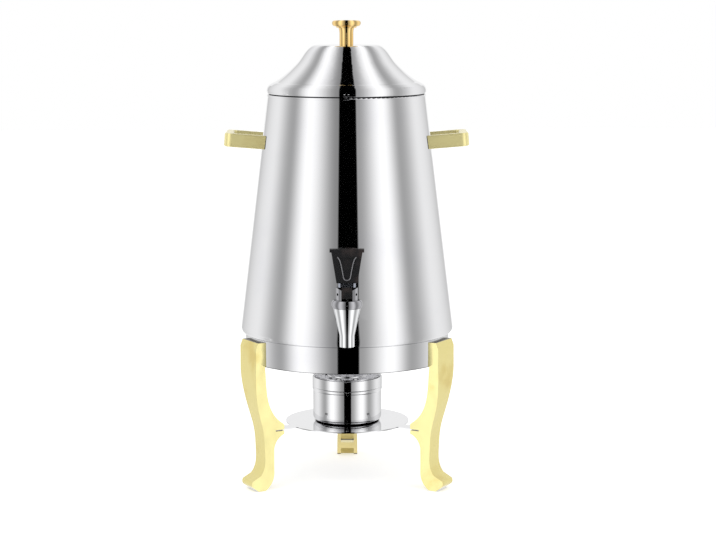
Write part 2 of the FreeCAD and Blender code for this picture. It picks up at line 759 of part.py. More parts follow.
def seated_handle(side):
    """Handle tilted upwards and cut to the tank's wall, less its gasket."""
    loop = turn(handle(), -HANDLE_TILT, Y_AXIS, V(tank_radius(HANDLE_Z), 0, HANDLE_Z))
    loop = loop.cut(tank_solid(-HANDLE_GASKET))
    loop = loop if side > 0 else turn(loop, 180)
    holes = [aim(disc(HANDLE_SCREW_R, 0, 2 * SEAL_WALL + TANK_WALL + HANDLE_SCREW_GRIP), direction, start)
             for start, direction in handle_screw_lines()]
    return loop.cut(holes)


def handle_gasket_set():
    """Thin seals between the handles' four ends and the wall."""
    shell = tank_solid(-HANDLE_GASKET).cut(tank_solid(0))
    seals = []
    for side in (0, 180):
        loop = turn(handle(), -HANDLE_TILT, Y_AXIS, V(tank_radius(HANDLE_Z), 0, HANDLE_Z))
        ends = turn(loop, side).common(shell)
        seals += ends.Solids
    holes = [aim(disc(HANDLE_SCREW_R, 0, 2 * HANDLE_BAR), direction, start)
             for start, direction in handle_screw_lines()]
    return [seal.cut(holes) for seal in seals]


def handle_screw_set():
    """Screws from inside the tank into the handles' ends."""
    length = 2 * SEAL_WALL + TANK_WALL + HANDLE_SCREW_GRIP
    return [aim(screw(HANDLE_SCREW_R, length, SCREW_HEAD_R, SCREW_HEAD), direction, start)
            for start, direction in handle_screw_lines()]


def handle_seal_set():
    """Silicone washers that keep the screw holes tight."""
    inner = tank_solid(TANK_WALL_RUN)
    seals = []
    for start, direction in handle_screw_lines():
        seal = aim(washer(SCREW_HEAD_R + SEAL_OVERHANG, HANDLE_SCREW_R, 6 * SEAL_WALL), direction, start)
        seals.append(seal.common(inner))
    return seals


# Lid

def lid_flank():
    """Points of the lid's bell, from the crown down to the lip."""
    flare = LID_RIM_R - LID_CROWN_R
    points = [(LID_CROWN_R + across * flare, LID_Z + up * LID_HEIGHT) for across, up in LID_FLANK]
    return points + [(LID_CROWN_R + LID_LIP_START * flare, LID_Z + LID_LIP_HEIGHT)]


def lid_outer_edge():
    """Outer line of the bell, from the crown down to the lip."""
    return curve(lid_flank(), LID_CROWN_SLOPE, LID_LIP_SLOPE)


def lid_inner_points():
    """Points one sheet's thickness inside the bell's outer line."""
    spline = lid_outer_edge().Curve
    points = []
    for r, z in lid_flank():
        slope = spline.tangent(spline.parameter(V(r, 0, z)))[0]
        points.append((r + slope.z * LID_WALL, z - slope.x * LID_WALL))
    return points


def lid_inner_edge():
    """Inner line of the bell, from the crown down to the lip."""
    return curve(lid_inner_points(), LID_CROWN_SLOPE, LID_LIP_SLOPE)


def lid_shell():
    """Spun bell with a rolled lip, open below."""
    crown = lid_flank()[0]
    lip_top = lid_flank()[-1]
    crown_in = lid_inner_points()[0]
    lip_in = lid_inner_points()[-1]
    lip_mid_z = LID_Z + LID_LIP_HEIGHT * LID_LIP_MIDDLE
    lip_mid = (LID_RIM_R, lip_mid_z)
    lip_shoulder = (LID_RIM_R - LID_LIP_SHOULDER[0], LID_Z + LID_LIP_HEIGHT * LID_LIP_SHOULDER[1])
    lip_curl = (LID_RIM_R - LID_LIP_CURL[0], LID_Z + LID_LIP_HEIGHT * LID_LIP_CURL[1])
    hem = (LID_HEM_R, LID_Z)
    slant = LID_HEM_SLANT * LID_WALL
    hem_in = (LID_HEM_R - slant, LID_Z + slant)
    curl_in = (LID_RIM_R - LID_CURL_INSIDE[0] * LID_WALL, LID_Z + LID_LIP_HEIGHT * LID_CURL_INSIDE[1])
    inner_mid = (LID_RIM_R - LID_WALL, lip_mid_z)
    edges = [
        line((KNOB_SCREW_R, LID_TOP_Z), crown),
        lid_outer_edge(),
        arc(lip_top, lip_shoulder, lip_mid),
        arc(lip_mid, lip_curl, hem),
        line(hem, hem_in),
        arc(hem_in, curl_in, inner_mid),
        line(inner_mid, lip_in),
        lid_inner_edge(),
        line(crown_in, (KNOB_SCREW_R, LID_TOP_Z - LID_WALL)),
        line((KNOB_SCREW_R, LID_TOP_Z - LID_WALL), (KNOB_SCREW_R, LID_TOP_Z)),
    ]
    return turned(edges)


def lid_spigot():
    """Ring under the lid that drops inside the mouth, welded to the bell at its top."""
    outer = TANK_MOUTH_R - TANK_WALL / 2 - MOUTH_BEAD_R - LID_SPIGOT_CLEARANCE
    low = MOUTH_Z - LID_SPIGOT_DEPTH
    ring = tube(outer, outer - LID_WALL, low, LID_TOP_Z)
    lip_in = lid_inner_points()[-1]
    crown_in = lid_inner_points()[0]
    bell_space = turned([
        line((0, crown_in[1]), crown_in),
        lid_inner_edge(),
        line(lip_in, (lip_in[0], low)),
        line((lip_in[0], low), (0, low)),
        line((0, low), (0, crown_in[1])),
    ])
    return ring.common(bell_space)


def lid_knob():
    """Turned brass knob with a dished disc on a plain stem."""
    base = LID_TOP_Z
    top = base + KNOB_HEIGHT
    disc_low = top - KNOB_DISC_THICKNESS
    neck = (KNOB_NECK_R, disc_low - KNOB_NECK_DROP)
    stem_top = (KNOB_STEM_R, disc_low - KNOB_FLARE_HEIGHT)
    flare = (stem_top[0] + KNOB_FLARE_START[0], stem_top[1] + KNOB_FLARE_START[1])
    step_low = (KNOB_STEP_R - KNOB_STEP_BEVEL[0], disc_low - KNOB_STEP_BEVEL[1])
    step = (KNOB_STEP_R, disc_low)
    undercurve = (KNOB_DISC_R - KNOB_UNDERCURVE[0], disc_low + KNOB_UNDERCURVE[1])
    rim = (KNOB_DISC_R, disc_low + KNOB_EDGE_RISE)
    shoulder = (KNOB_DISC_R - KNOB_SHOULDER[0], top - KNOB_SHOULDER[1])
    crest = (KNOB_DISC_R - KNOB_RIM_WIDTH, top)
    dish_start = (KNOB_DISC_R - KNOB_DISH_START, top - KNOB_DISH_DEPTH * KNOB_DISH_START_SHARE)
    dish_edge = (KNOB_DISC_R - KNOB_DISH_EDGE, top - KNOB_DISH_DEPTH)
    edges = [
        line((0, base), (KNOB_STEM_R, base)),
        line((KNOB_STEM_R, base), stem_top),
        curve([stem_top, flare, neck]),
        line(neck, step_low),
        line(step_low, step),
        arc(step, undercurve, rim),
        arc(rim, shoulder, crest),
        arc(crest, dish_start, dish_edge),
        line(dish_edge, (0, dish_edge[1])),
        line((0, dish_edge[1]), (0, base)),
    ]
    return turned(edges).cut(disc(KNOB_SCREW_R, base, base + KNOB_SCREW_GRIP))


def knob_screw():
    """Screw through the lid's crown into the knob."""
    length = KNOB_SCREW_GRIP + LID_WALL + WASHER_WALL
    return move(screw(KNOB_SCREW_R, length, SCREW_HEAD_R, SCREW_HEAD), knob_washer_seat())


def knob_washer():
    """Washer under the knob screw's head."""
    return move(washer(KNOB_WASHER_R, KNOB_SCREW_R, WASHER_WALL), knob_washer_seat())


def knob_washer_seat():
    """Lower face of the washer under the lid's crown."""
    return V(0, 0, LID_TOP_Z - LID_WALL - WASHER_WALL)


# Tap

def tap_face_y():
    """Distance of the tap's flange face from the urn's axis, clear of the tapered wall."""
    return tank_radius(SHANK_Z - TAP_FLANGE_R) + GASKET_LEAST


def tap_inside_y():
    """Distance of the inner gasket's flat face from the urn's axis."""
    inner_r = tank_radius(SHANK_Z + TAP_FLANGE_R) - TANK_WALL_RUN
    return math.sqrt(inner_r ** 2 - TAP_FLANGE_R ** 2) - GASKET_LEAST


def level_rod(radius, near, far):
    """Level cylinder along the shank's axis, between two distances from the urn's axis."""
    return Part.makeCylinder(radius, far - near, V(0, -near, SHANK_Z), V(0, -1, 0))


def tap_body():
    """Tapered body with a spout below, a socket for the shank behind and a valve seat inside."""
    cone_low = NOZZLE_BOTTOM_Z + NOZZLE_LENGTH
    body = move(turned_polygon([
        (0, NOZZLE_BOTTOM_Z),
        (NOZZLE_R, NOZZLE_BOTTOM_Z),
        (NOZZLE_R, cone_low),
        (TAP_TOP_R, TAP_TOP_Z),
        (0, TAP_TOP_Z),
    ]), TAP_AXIS)
    socket = level_rod(SHANK_SOCKET_R, tap_face_y(), TAP_REACH)
    flange = level_rod(TAP_FLANGE_R, tap_face_y(), tap_face_y() + TAP_FLANGE_THICKNESS)
    chamber = move(turned_polygon([
        (0, NOZZLE_BOTTOM_Z),
        (OUTLET_R, NOZZLE_BOTTOM_Z),
        (OUTLET_R, TAP_SEAT_Z),
        (CHAMBER_FLOOR_R, TAP_SEAT_Z),
        (CHAMBER_TOP_R, TAP_TOP_Z - BONNET_SPIGOT - CHAMBER_STRAIGHT),
        (CHAMBER_TOP_R, TAP_TOP_Z),
        (0, TAP_TOP_Z),
    ]), TAP_AXIS)
    shank_seat = level_rod(SHANK_R, tap_face_y(), tap_face_y() + SHANK_SOCKET_DEPTH)
    waterway = level_rod(SHANK_BORE_R, tap_face_y(), TAP_REACH)
    outside = join([body, socket, flange])
    return outside.cut([chamber, shank_seat, waterway])


def tap_shank():
    """Threaded tube from the tap's socket through the wall."""
    inner_end = tap_inside_y() - SHANK_WASHER - SHANK_NUT - SHANK_TAIL
    outer_end = tap_face_y() + SHANK_SOCKET_DEPTH
    return level_rod(SHANK_R, inner_end, outer_end).cut(level_rod(SHANK_BORE_R, inner_end, outer_end))


def tap_gasket_outer():
    """Bevelled seal between the tap's flange and the tapered wall."""
    block = level_rod(TAP_FLANGE_R, tap_face_y() - 4 * TAP_FLANGE_THICKNESS, tap_face_y())
    return block.cut([tank_solid(0), level_rod(SHANK_R, 0, TAP_REACH)])


def tap_gasket_inner():
    """Bevelled seal on the inside of the wall."""
    block = level_rod(TAP_FLANGE_R, tap_inside_y(), tap_inside_y() + 4 * TAP_FLANGE_THICKNESS)
    return block.common(tank_solid(TANK_WALL_RUN + WALL_SEAL_GAP)).cut(level_rod(SHANK_R, 0, TAP_REACH))


def tap_washer():
    """Flat washer between the inner seal and the nut."""
    far = tap_inside_y()
    return level_rod(TAP_FLANGE_R, far - SHANK_WASHER, far).cut(level_rod(SHANK_R, 0, TAP_REACH))


def tap_nut():
    """Hexagon nut that clamps the tap to the wall."""
    corner_r = SHANK_NUT_FLATS / math.sqrt(3)
    far = tap_inside_y() - SHANK_WASHER
    corners = [V(corner_r * math.cos(math.radians(60 * i)), 0, corner_r * math.sin(math.radians(60 * i)))
               for i in range(7)]
    hexagon = Part.Face(Part.makePolygon(corners))
    hexagon.translate(V(0, -far, SHANK_Z))
    return hexagon.extrude(V(0, SHANK_NUT, 0)).cut(level_rod(SHANK_R, 0, TAP_REACH))


def tap_bonnet():
    """Crowned nut on the tap's body with two cheeks above it that carry the lever's pin."""
    low = TAP_TOP_Z
    high = BONNET_TOP_Z
    edge_r = BONNET_RING_R - BONNET_RING_BULGE
    spigot_bore = CHAMBER_TOP_R - BONNET_SPIGOT_WALL
    ring = turned([
        line((STEM_R + RUNNING_CLEARANCE, low), (spigot_bore, low)),
        line((spigot_bore, low), (spigot_bore, low - BONNET_SPIGOT)),
        line((spigot_bore, low - BONNET_SPIGOT), (CHAMBER_TOP_R, low - BONNET_SPIGOT)),
        line((CHAMBER_TOP_R, low - BONNET_SPIGOT), (CHAMBER_TOP_R, low)),
        line((CHAMBER_TOP_R, low), (edge_r, low)),
        arc((edge_r, low), (BONNET_RING_R, (low + high) / 2), (edge_r, high)),
        line((edge_r, high), (CHEEK_R, high)),
        line((CHEEK_R, high), (CHEEK_R, CHEEK_TOP_Z)),
        line((CHEEK_R, CHEEK_TOP_Z), (STEM_R + RUNNING_CLEARANCE, CHEEK_TOP_Z)),
        line((STEM_R + RUNNING_CLEARANCE, CHEEK_TOP_Z), (STEM_R + RUNNING_CLEARANCE, low)),
    ])
    bonnet = move(ring, TAP_AXIS)
    half = LEVER_SLOT / 2
    floor_z = low + BONNET_FLOOR
    slot_back = -TAP_REACH + STEM_HEAD_R + SLOT_BEHIND_HEAD
    slot = box((-half, half), (PIN_Y - 2 * CHEEK_R, slot_back), (high, CHEEK_TOP_Z))
    pit = box((-half, half), (-TAP_REACH - CHEEK_R + PIT_WALL, slot_back), (floor_z, high))
    nose = box((-2 * CHEEK_R, 2 * CHEEK_R), (PIN_Y - 2 * CHEEK_R, PIN_Y), (PIN_Z, CHEEK_TOP_Z))
    round_r = CHEEK_TOP_Z - PIN_Z - STEM_GAP
    nose = nose.cut(Part.makeCylinder(round_r, 4 * CHEEK_R, V(-2 * CHEEK_R, PIN_Y, PIN_Z), X_AXIS))
    pin_hole = Part.makeCylinder(PIN_R, 4 * CHEEK_R, V(-2 * CHEEK_R, PIN_Y, PIN_Z), X_AXIS)
    return bonnet.cut([slot, pit, nose, pin_hole])


def pin_half_length():
    """Half the pin's length, just inside the round cheeks."""
    return math.sqrt(CHEEK_R ** 2 - (PIN_AHEAD + PIN_R) ** 2) - STEM_GAP


def lever_pin():
    """Pin across the cheeks that the lever swings on."""
    half = pin_half_length()
    return Part.makeCylinder(PIN_R, 2 * half, V(-half, PIN_Y, PIN_Z), X_AXIS)


def fork_top_z():
    return PIN_Z + FORK_R


def tap_stem():
    """Valve rod with a head above the lever's fork and a plate in the seat cup."""
    head_low = fork_top_z() + FORK_GAP
    low = TAP_SEAT_Z + SEAT_CUP_HEIGHT / 2
    rod = disc(STEM_R, low, head_low)
    head = disc(STEM_HEAD_R, head_low, head_low + STEM_HEAD_THICKNESS)
    plate = disc(STEM_PLATE_R, low, low + STEM_PLATE_THICKNESS)
    return move(join([rod, head, plate]), TAP_AXIS)


def tap_seat_cup():
    """Rubber cup that closes the outlet."""
    top = TAP_SEAT_Z + SEAT_CUP_HEIGHT
    cup = turned([
        line((0, TAP_SEAT_Z), (SEAT_CUP_R, TAP_SEAT_Z)),
        line((SEAT_CUP_R, TAP_SEAT_Z), (SEAT_CUP_R, top - SEAT_CUP_BEVEL)),
        line((SEAT_CUP_R, top - SEAT_CUP_BEVEL), (SEAT_CUP_R - SEAT_CUP_BEVEL, top)),
        line((SEAT_CUP_R - SEAT_CUP_BEVEL, top), (0, top)),
        line((0, top), (0, TAP_SEAT_Z)),
    ])
    return move(cup, TAP_AXIS).cut(tap_stem())


def tap_spring():
    """Closing spring between the bonnet's floor and the seat cup."""
    low = TAP_SEAT_Z + SEAT_CUP_HEIGHT + SPRING_WIRE_R
    high = TAP_TOP_Z - SPRING_WIRE_R
    helix = Part.makeHelix((high - low) / SPRING_TURNS, high - low, SPRING_R)
    start = Part.Wire(Part.makeCircle(SPRING_WIRE_R, V(SPRING_R, 0, 0), Y_AXIS))
    coil = Part.Wire(helix.Edges).makePipeShell([start], True, True)
    return move(coil, TAP_AXIS + V(0, 0, low))


def tap_lever():
    """Paddle, neck and fork in one moulding, swinging on the pin."""
    half_slot = LEVER_SLOT / 2 - LEVER_SIDE_GAP
    neck_low = PIN_Z - LEVER_NECK_DROP
    neck_front = PIN_Y - LEVER_NECK_FRONT
    neck_back = -TAP_REACH - STEM_HEAD_R - STEM_GAP
    neck = box((-half_slot, half_slot), (neck_front, neck_back), (neck_low, CHEEK_TOP_Z + LEVER_NECK_RISE))
    arms = box((-half_slot, half_slot), (PIN_Y, -TAP_REACH), (PIN_Z - FORK_R, PIN_Z + FORK_R))
    tips = Part.makeCylinder(FORK_R, 2 * half_slot, V(-half_slot, -TAP_REACH, PIN_Z), X_AXIS)
    notch_half = STEM_R + STEM_GAP
    notch = box((-notch_half, notch_half), (-TAP_REACH - STEM_R - 2 * STEM_GAP, -TAP_REACH + 3 * FORK_R),
                (BONNET_TOP_Z, CHEEK_TOP_Z))
    paddle_low = CHEEK_TOP_Z + COLLAR_HEIGHT
    core = box((-half_slot, half_slot), (neck_front, neck_front + PADDLE_THICKNESS),
               (CHEEK_TOP_Z, paddle_low))
    bore = Part.makeCylinder(PIN_R + RUNNING_CLEARANCE, 4 * CHEEK_R, V(-2 * CHEEK_R, PIN_Y, PIN_Z), X_AXIS)
    solid = join([neck, arms.cut(notch), tips.cut(notch), core, paddle()])
    return solid.cut(bore)


def paddle():
    """Flat grip that widens upwards to a lip, with a shallow round-bottomed recess in front."""
    low = CHEEK_TOP_Z + COLLAR_HEIGHT
    high = low + PADDLE_HEIGHT
    lip_low = high - PADDLE_LIP_HEIGHT
    front = PIN_Y - LEVER_NECK_FRONT
    outline = [(-PADDLE_BOTTOM_WIDTH / 2, low), (PADDLE_BOTTOM_WIDTH / 2, low),
               (PADDLE_TOP_WIDTH / 2, lip_low), (PADDLE_LIP_WIDTH / 2, lip_low),
               (PADDLE_LIP_WIDTH / 2, high), (-PADDLE_LIP_WIDTH / 2, high),
               (-PADDLE_LIP_WIDTH / 2, lip_low), (-PADDLE_TOP_WIDTH / 2, lip_low)]
    face = Part.Face(Part.Wire(lines(outline + outline[:1])))
    face.translate(V(0, front, 0))
    plate = face.extrude(V(0, PADDLE_THICKNESS, 0))
    well_low = low + RECESS_FROM_BOTTOM
    well_high = lip_low - RECESS_BELOW_LIP
    tip = RECESS_TIP_HALF_WIDTH
    waist = RECESS_HALF_WIDTH - RECESS_WAIST_IN
    waist_z = (well_low + well_high) / 2 - RECESS_WAIST_DROP
    well = Part.Face(Part.Wire([
        line((-RECESS_HALF_WIDTH, well_high), (RECESS_HALF_WIDTH, well_high)),
        arc((RECESS_HALF_WIDTH, well_high), (waist, waist_z), (tip, well_low)),
        arc((tip, well_low), (0, well_low - RECESS_TIP_ROUND), (-tip, well_low)),
        arc((-tip, well_low), (-waist, waist_z), (-RECESS_HALF_WIDTH, well_high)),
    ]))
    well.translate(V(0, front - 1, 0))
    return plate.cut(well.extrude(V(0, PADDLE_RECESS + 1, 0)))


def lever_collar():
    """Metal ferrule between the lever's neck and its paddle."""
    low = CHEEK_TOP_Z + COLLAR_GAP
    high = CHEEK_TOP_Z + COLLAR_HEIGHT
    front = PIN_Y - LEVER_NECK_FRONT - COLLAR_FRONT_WALL
    half = COLLAR_WIDTH / 2
    block = box((-half, half), (front, front + COLLAR_DEPTH), (low, high))
    edges = [edge for edge in block.Edges if edge.BoundBox.ZLength > 1]
    return block.makeFillet(COLLAR_CORNER_R, edges).cut(tap_lever())


# Burner

def cover_top_z():
    """Height of the cover's top, whose rounded edge clears the pot's rim."""
    return SHELF_TOP_Z + CUP_HEIGHT + COVER_RIM_GAP + COVER_EDGE_R


def burner_cup():
    """Fuel pot with a rounded foot and a bead that the cover rests on."""
    low = SHELF_TOP_Z
    high = low + CUP_HEIGHT
    cover_low = cover_top_z() - COVER_SKIRT
    bead_low = cover_low - CUP_BEAD_HEIGHT
    inner_r = CUP_R - CUP_WALL
    skew = 1 - math.sqrt(0.5)
    inner_corner = CUP_CORNER_R - CUP_WALL
    edges = [
        line((0, low), (CUP_R - CUP_CORNER_R, low)),
        arc((CUP_R - CUP_CORNER_R, low), (CUP_R - skew * CUP_CORNER_R, low + skew * CUP_CORNER_R),
            (CUP_R, low + CUP_CORNER_R)),
        line((CUP_R, low + CUP_CORNER_R), (CUP_R, bead_low)),
        arc((CUP_R, bead_low), (CUP_R + CUP_BEAD_PROUD, bead_low + CUP_BEAD_HEIGHT / 2), (CUP_R, cover_low)),
        line((CUP_R, cover_low), (CUP_R, high)),
        line((CUP_R, high), (inner_r, high)),
        line((inner_r, high), (inner_r, low + CUP_CORNER_R)),
        arc((inner_r, low + CUP_CORNER_R),
            (inner_r - skew * inner_corner, low + CUP_WALL + skew * inner_corner),
            (inner_r - inner_corner, low + CUP_WALL)),
        line((inner_r - inner_corner, low + CUP_WALL), (0, low + CUP_WALL)),
        line((0, low + CUP_WALL), (0, low)),
    ]
    return turned(edges)


def burner_cover():
    """Cap over the pot with a round hole for the flame."""
    top = cover_top_z()
    low = top - COVER_SKIRT
    outer_r = CUP_R + COVER_CLEARANCE + COVER_WALL
    skew = 1 - math.sqrt(0.5)
    inner_r = CUP_R + COVER_CLEARANCE
    inner_corner = COVER_EDGE_R - COVER_WALL
    edges = [
        line((FLAME_HOLE_R, top), (outer_r - COVER_EDGE_R, top)),
        arc((outer_r - COVER_EDGE_R, top), (outer_r - skew * COVER_EDGE_R, top - skew * COVER_EDGE_R),
            (outer_r, top - COVER_EDGE_R)),
        line((outer_r, top - COVER_EDGE_R), (outer_r, low)),
        line((outer_r, low), (inner_r, low)),
        line((inner_r, low), (inner_r, top - COVER_EDGE_R)),
        arc((inner_r, top - COVER_EDGE_R),
            (inner_r - skew * inner_corner, top - COVER_WALL - skew * inner_corner),
            (inner_r - inner_corner, top - COVER_WALL)),
        line((inner_r - inner_corner, top - COVER_WALL), (FLAME_HOLE_R, top - COVER_WALL)),
        line((FLAME_HOLE_R, top - COVER_WALL), (FLAME_HOLE_R, top)),
    ]
    cap = turned(edges)
    return cap.cut(disc_at_pivot(DAMPER_RIVET_R, top - COVER_WALL, top))


def disc_at_pivot(radius, bottom, top):
    """Upright cylinder on the damper's rivet axis, behind the flame hole."""
    return move(disc(radius, bottom, top), V(0, DAMPER_PIVOT_R, 0))


def damper_rivet():
    """Rivet that the damper swings on."""
    top = cover_top_z()
    shank = disc_at_pivot(DAMPER_RIVET_R, top - COVER_WALL, top + DAMPER_THICKNESS + RUNNING_CLEARANCE)
    head_low = top + DAMPER_THICKNESS + RUNNING_CLEARANCE
    head = disc_at_pivot(DAMPER_RIVET_HEAD_R, head_low, head_low + DAMPER_RIVET_HEAD)
    foot_top = top - COVER_WALL
    foot = disc_at_pivot(DAMPER_RIVET_HEAD_R, foot_top - DAMPER_RIVET_FOOT, foot_top)
    return join([foot, shank, head])


def burner_damper():
    """Round plate that swings over the flame hole, with a bent-up tab at its side."""
    low = cover_top_z()
    high = low + DAMPER_THICKNESS
    plate = disc(DAMPER_R, low, high)
    ear = disc_at_pivot(DAMPER_EAR_R, low, high)
    bridge = box((-DAMPER_EAR_R, DAMPER_EAR_R), (0, DAMPER_PIVOT_R), (low, high))
    half = DAMPER_TAB_WIDTH / 2
    tab_x = -DAMPER_R - DAMPER_TAB_OUT
    tongue = box((tab_x, 0), (-half, half), (low, high))
    tab = box((tab_x, tab_x + DAMPER_THICKNESS), (-half, half), (low, high + DAMPER_TAB_HEIGHT))
    hole = disc_at_pivot(DAMPER_RIVET_R + RUNNING_CLEARANCE, low - 1, high + 1)
    return join([plate, ear, bridge, tongue, tab]).cut(hole)


def main():
    os.makedirs("parts", exist_ok=True)
    leg_shape = leg()
    for name, angle in LEG_ANGLES.items():
        export(name, [turn(leg_shape, angle)])
    export("stand_ring", [stand_ring()])
    export("leg_screws", leg_screw_set())
    export("leg_washers", leg_washer_set())
    export("burner_shelf", [burner_shelf()])
    export("shelf_screws", shelf_screw_set())

    export("tank_shell", [tank_shell()])
    export("tank_floor", [tank_floor()])
    export("tank_foot_rim", [tank_foot_rim()])
    export("handle_left", [seated_handle(-1)])
    export("handle_right", [seated_handle(1)])
    export("handle_gaskets", handle_gasket_set())
    export("handle_screws", handle_screw_set())
    export("handle_seals", handle_seal_set())

    export("lid_shell", [lid_shell()])
    export("lid_spigot", [lid_spigot()])
    export("lid_knob", [lid_knob()])
    export("knob_screw", [knob_screw()])
    export("knob_washer", [knob_washer()])

    export("tap_body", [tap_body()])
    export("tap_shank", [tap_shank()])
    export("tap_gasket_outer", [tap_gasket_outer()])
    export("tap_gasket_inner", [tap_gasket_inner()])
    export("tap_washer", [tap_washer()])
    export("tap_nut", [tap_nut()])
    export("tap_bonnet", [tap_bonnet()])
    export("lever_pin", [lever_pin()])
    export("tap_stem", [tap_stem()])
    export("tap_seat_cup", [tap_seat_cup()])
    export("tap_spring", [tap_spring()])
    export("tap_lever", [tap_lever()])
    export("lever_collar", [lever_collar()])

    export("burner_cup", [burner_cup()])
    export("burner_cover", [burner_cover()])
    export("damper_rivet", [damper_rivet()])
    export("burner_damper", [burner_damper()])


main()
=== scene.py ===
"""Looks of the coffee urn: finishes, finer surfaces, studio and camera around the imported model.

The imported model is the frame. Lengths are in metres, but for the finer pieces' own sizes, which are in
millimetres until their mesh is made.
"""
import math

import bmesh
import bpy
import numpy as np
from mathutils import Euler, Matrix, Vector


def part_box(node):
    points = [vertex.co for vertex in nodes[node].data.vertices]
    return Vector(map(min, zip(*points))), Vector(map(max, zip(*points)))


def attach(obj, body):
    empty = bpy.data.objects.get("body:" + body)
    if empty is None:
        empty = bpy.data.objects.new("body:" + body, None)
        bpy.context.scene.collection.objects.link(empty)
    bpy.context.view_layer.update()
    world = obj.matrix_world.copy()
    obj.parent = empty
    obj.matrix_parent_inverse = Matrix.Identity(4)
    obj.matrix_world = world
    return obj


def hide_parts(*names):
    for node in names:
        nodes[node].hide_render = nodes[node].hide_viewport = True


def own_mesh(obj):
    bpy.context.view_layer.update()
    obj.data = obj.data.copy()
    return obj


PHOTO_WIDTH = 716
MM_PER_METRE = 1000
FULL_TURN_DEGREES = 360

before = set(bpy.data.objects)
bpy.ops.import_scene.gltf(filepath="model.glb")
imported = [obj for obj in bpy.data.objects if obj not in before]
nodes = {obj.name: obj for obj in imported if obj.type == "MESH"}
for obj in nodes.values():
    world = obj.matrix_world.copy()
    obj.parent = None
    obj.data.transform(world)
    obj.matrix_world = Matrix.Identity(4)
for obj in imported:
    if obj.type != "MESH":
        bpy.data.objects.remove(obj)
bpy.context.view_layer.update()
tank_low, tank_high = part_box("tank_shell")
AXIS_Y = (tank_low.y + tank_high.y) / 2


# Camera, in metres and radians, from the ellipses and edges of the photograph

CAMERA_DISTANCE = 2.4103
CAMERA_HEIGHT = 0.5973
CAMERA_PITCH_DOWN = 0.1405
CAMERA_ROLL = 0.0022
FOCAL_PIXELS = 2008.6
AXIS_LEFT_PIXELS = 11.713
SENSOR_WIDTH = 36.0
CLIP_END = 50.0


def make_camera():
    """Camera in front of the tap, pitched down, with the urn's axis a little left of the middle."""
    data = bpy.data.cameras.new("photo_camera")
    data.sensor_width = SENSOR_WIDTH
    data.lens = FOCAL_PIXELS / PHOTO_WIDTH * SENSOR_WIDTH
    data.shift_x = AXIS_LEFT_PIXELS / PHOTO_WIDTH
    data.clip_end = CLIP_END
    camera = bpy.data.objects.new("photo_camera", data)
    camera.location = (0, AXIS_Y - CAMERA_DISTANCE, CAMERA_HEIGHT)
    camera.rotation_euler = Euler((math.pi / 2 - CAMERA_PITCH_DOWN, CAMERA_ROLL, 0))
    bpy.context.scene.collection.objects.link(camera)
    bpy.context.scene.camera = camera


# Node helpers

def add_node(tree, kind, **settings):
    """New shader node of a kind, with its settings."""
    node = tree.nodes.new(kind)
    for name, value in settings.items():
        setattr(node, name, value)
    return node


def feed(tree, value, socket):
    """A link or a plain value on a socket."""
    if isinstance(value, bpy.types.NodeSocket):
        tree.links.new(value, socket)
    else:
        socket.default_value = value


def calculate(tree, operation, *values):
    """Math node's output for sockets or numbers."""
    node = add_node(tree, "ShaderNodeMath", operation=operation)
    for socket, value in zip(node.inputs, values):
        feed(tree, value, socket)
    return node.outputs[0]


def stretched(tree, scale):
    """Object coordinates multiplied by a vector or by a socket."""
    coordinates = add_node(tree, "ShaderNodeTexCoord")
    node = add_node(tree, "ShaderNodeVectorMath", operation="MULTIPLY")
    tree.links.new(coordinates.outputs["Object"], node.inputs[0])
    feed(tree, scale, node.inputs[1])
    return node.outputs[0]


def noise(tree, place, scale, detail):
    """Noise between 0 and 1 at a place."""
    node = add_node(tree, "ShaderNodeTexNoise")
    tree.links.new(place, node.inputs["Vector"])
    node.inputs["Scale"].default_value = scale
    node.inputs["Detail"].default_value = detail
    return node.outputs[0]


def patches(tree, value, low, high):
    """A mask that rises from 0 to 1 as a value goes from low to high."""
    node = add_node(tree, "ShaderNodeMapRange", interpolation_type="SMOOTHSTEP")
    tree.links.new(value, node.inputs["Value"])
    node.inputs["From Min"].default_value = low
    node.inputs["From Max"].default_value = high
    return node.outputs[0]


def relief(tree, height, depth, below=None):
    """Normal of a surface with heights between 0 and 1 times a depth in metres."""
    node = add_node(tree, "ShaderNodeBump")
    node.inputs["Strength"].default_value = 1.0
    tree.links.new(height, node.inputs["Height"])
    feed(tree, depth, node.inputs["Distance"])
    if below is not None:
        tree.links.new(below, node.inputs["Normal"])
    return node.outputs["Normal"]


def make_group(name, inputs, outputs):
    """New node group with named float inputs and outputs.

    Gives the tree, the node that its inputs come from and the node that its outputs go to.
    """
    tree = bpy.data.node_groups.new(name, "ShaderNodeTree")
    for label, value in inputs.items():
        socket = tree.interface.new_socket(name=label, in_out="INPUT", socket_type="NodeSocketFloat")
        socket.default_value = value
    for label, kind in outputs.items():
        tree.interface.new_socket(name=label, in_out="OUTPUT", socket_type=kind)
    return tree, tree.nodes.new("NodeGroupInput"), tree.nodes.new("NodeGroupOutput")


# Surface effects shared by finishes, with lengths in metres and scales per metre

MARK_ENDS_PER_METRE = 7.0
MARK_ROUGHNESS = 0.015
SMUDGES_PER_METRE = 11.0
SMUDGE_SPREAD = (0.5, 0.72)
WAVES_PER_METRE = 42.0
PITS_PER_METRE = 900.0
PIT_SPREAD = (0.68, 0.8)
PIT_ROUGHNESS = 0.1
THIN_SPOTS_PER_METRE = 26.0
THIN_SPREAD = (0.5, 0.75)
THIN_ROUGHNESS = 0.05
GRAIN_ROUGHNESS = 0.08
TOUCHES_PER_METRE = 70.0
TOUCH_SPREAD = (0.45, 0.7)
TOUCH_ROUGHNESS = 0.08
SEAM_SAMPLES = 8
SEAM_COVER = (0.4, 0.85)


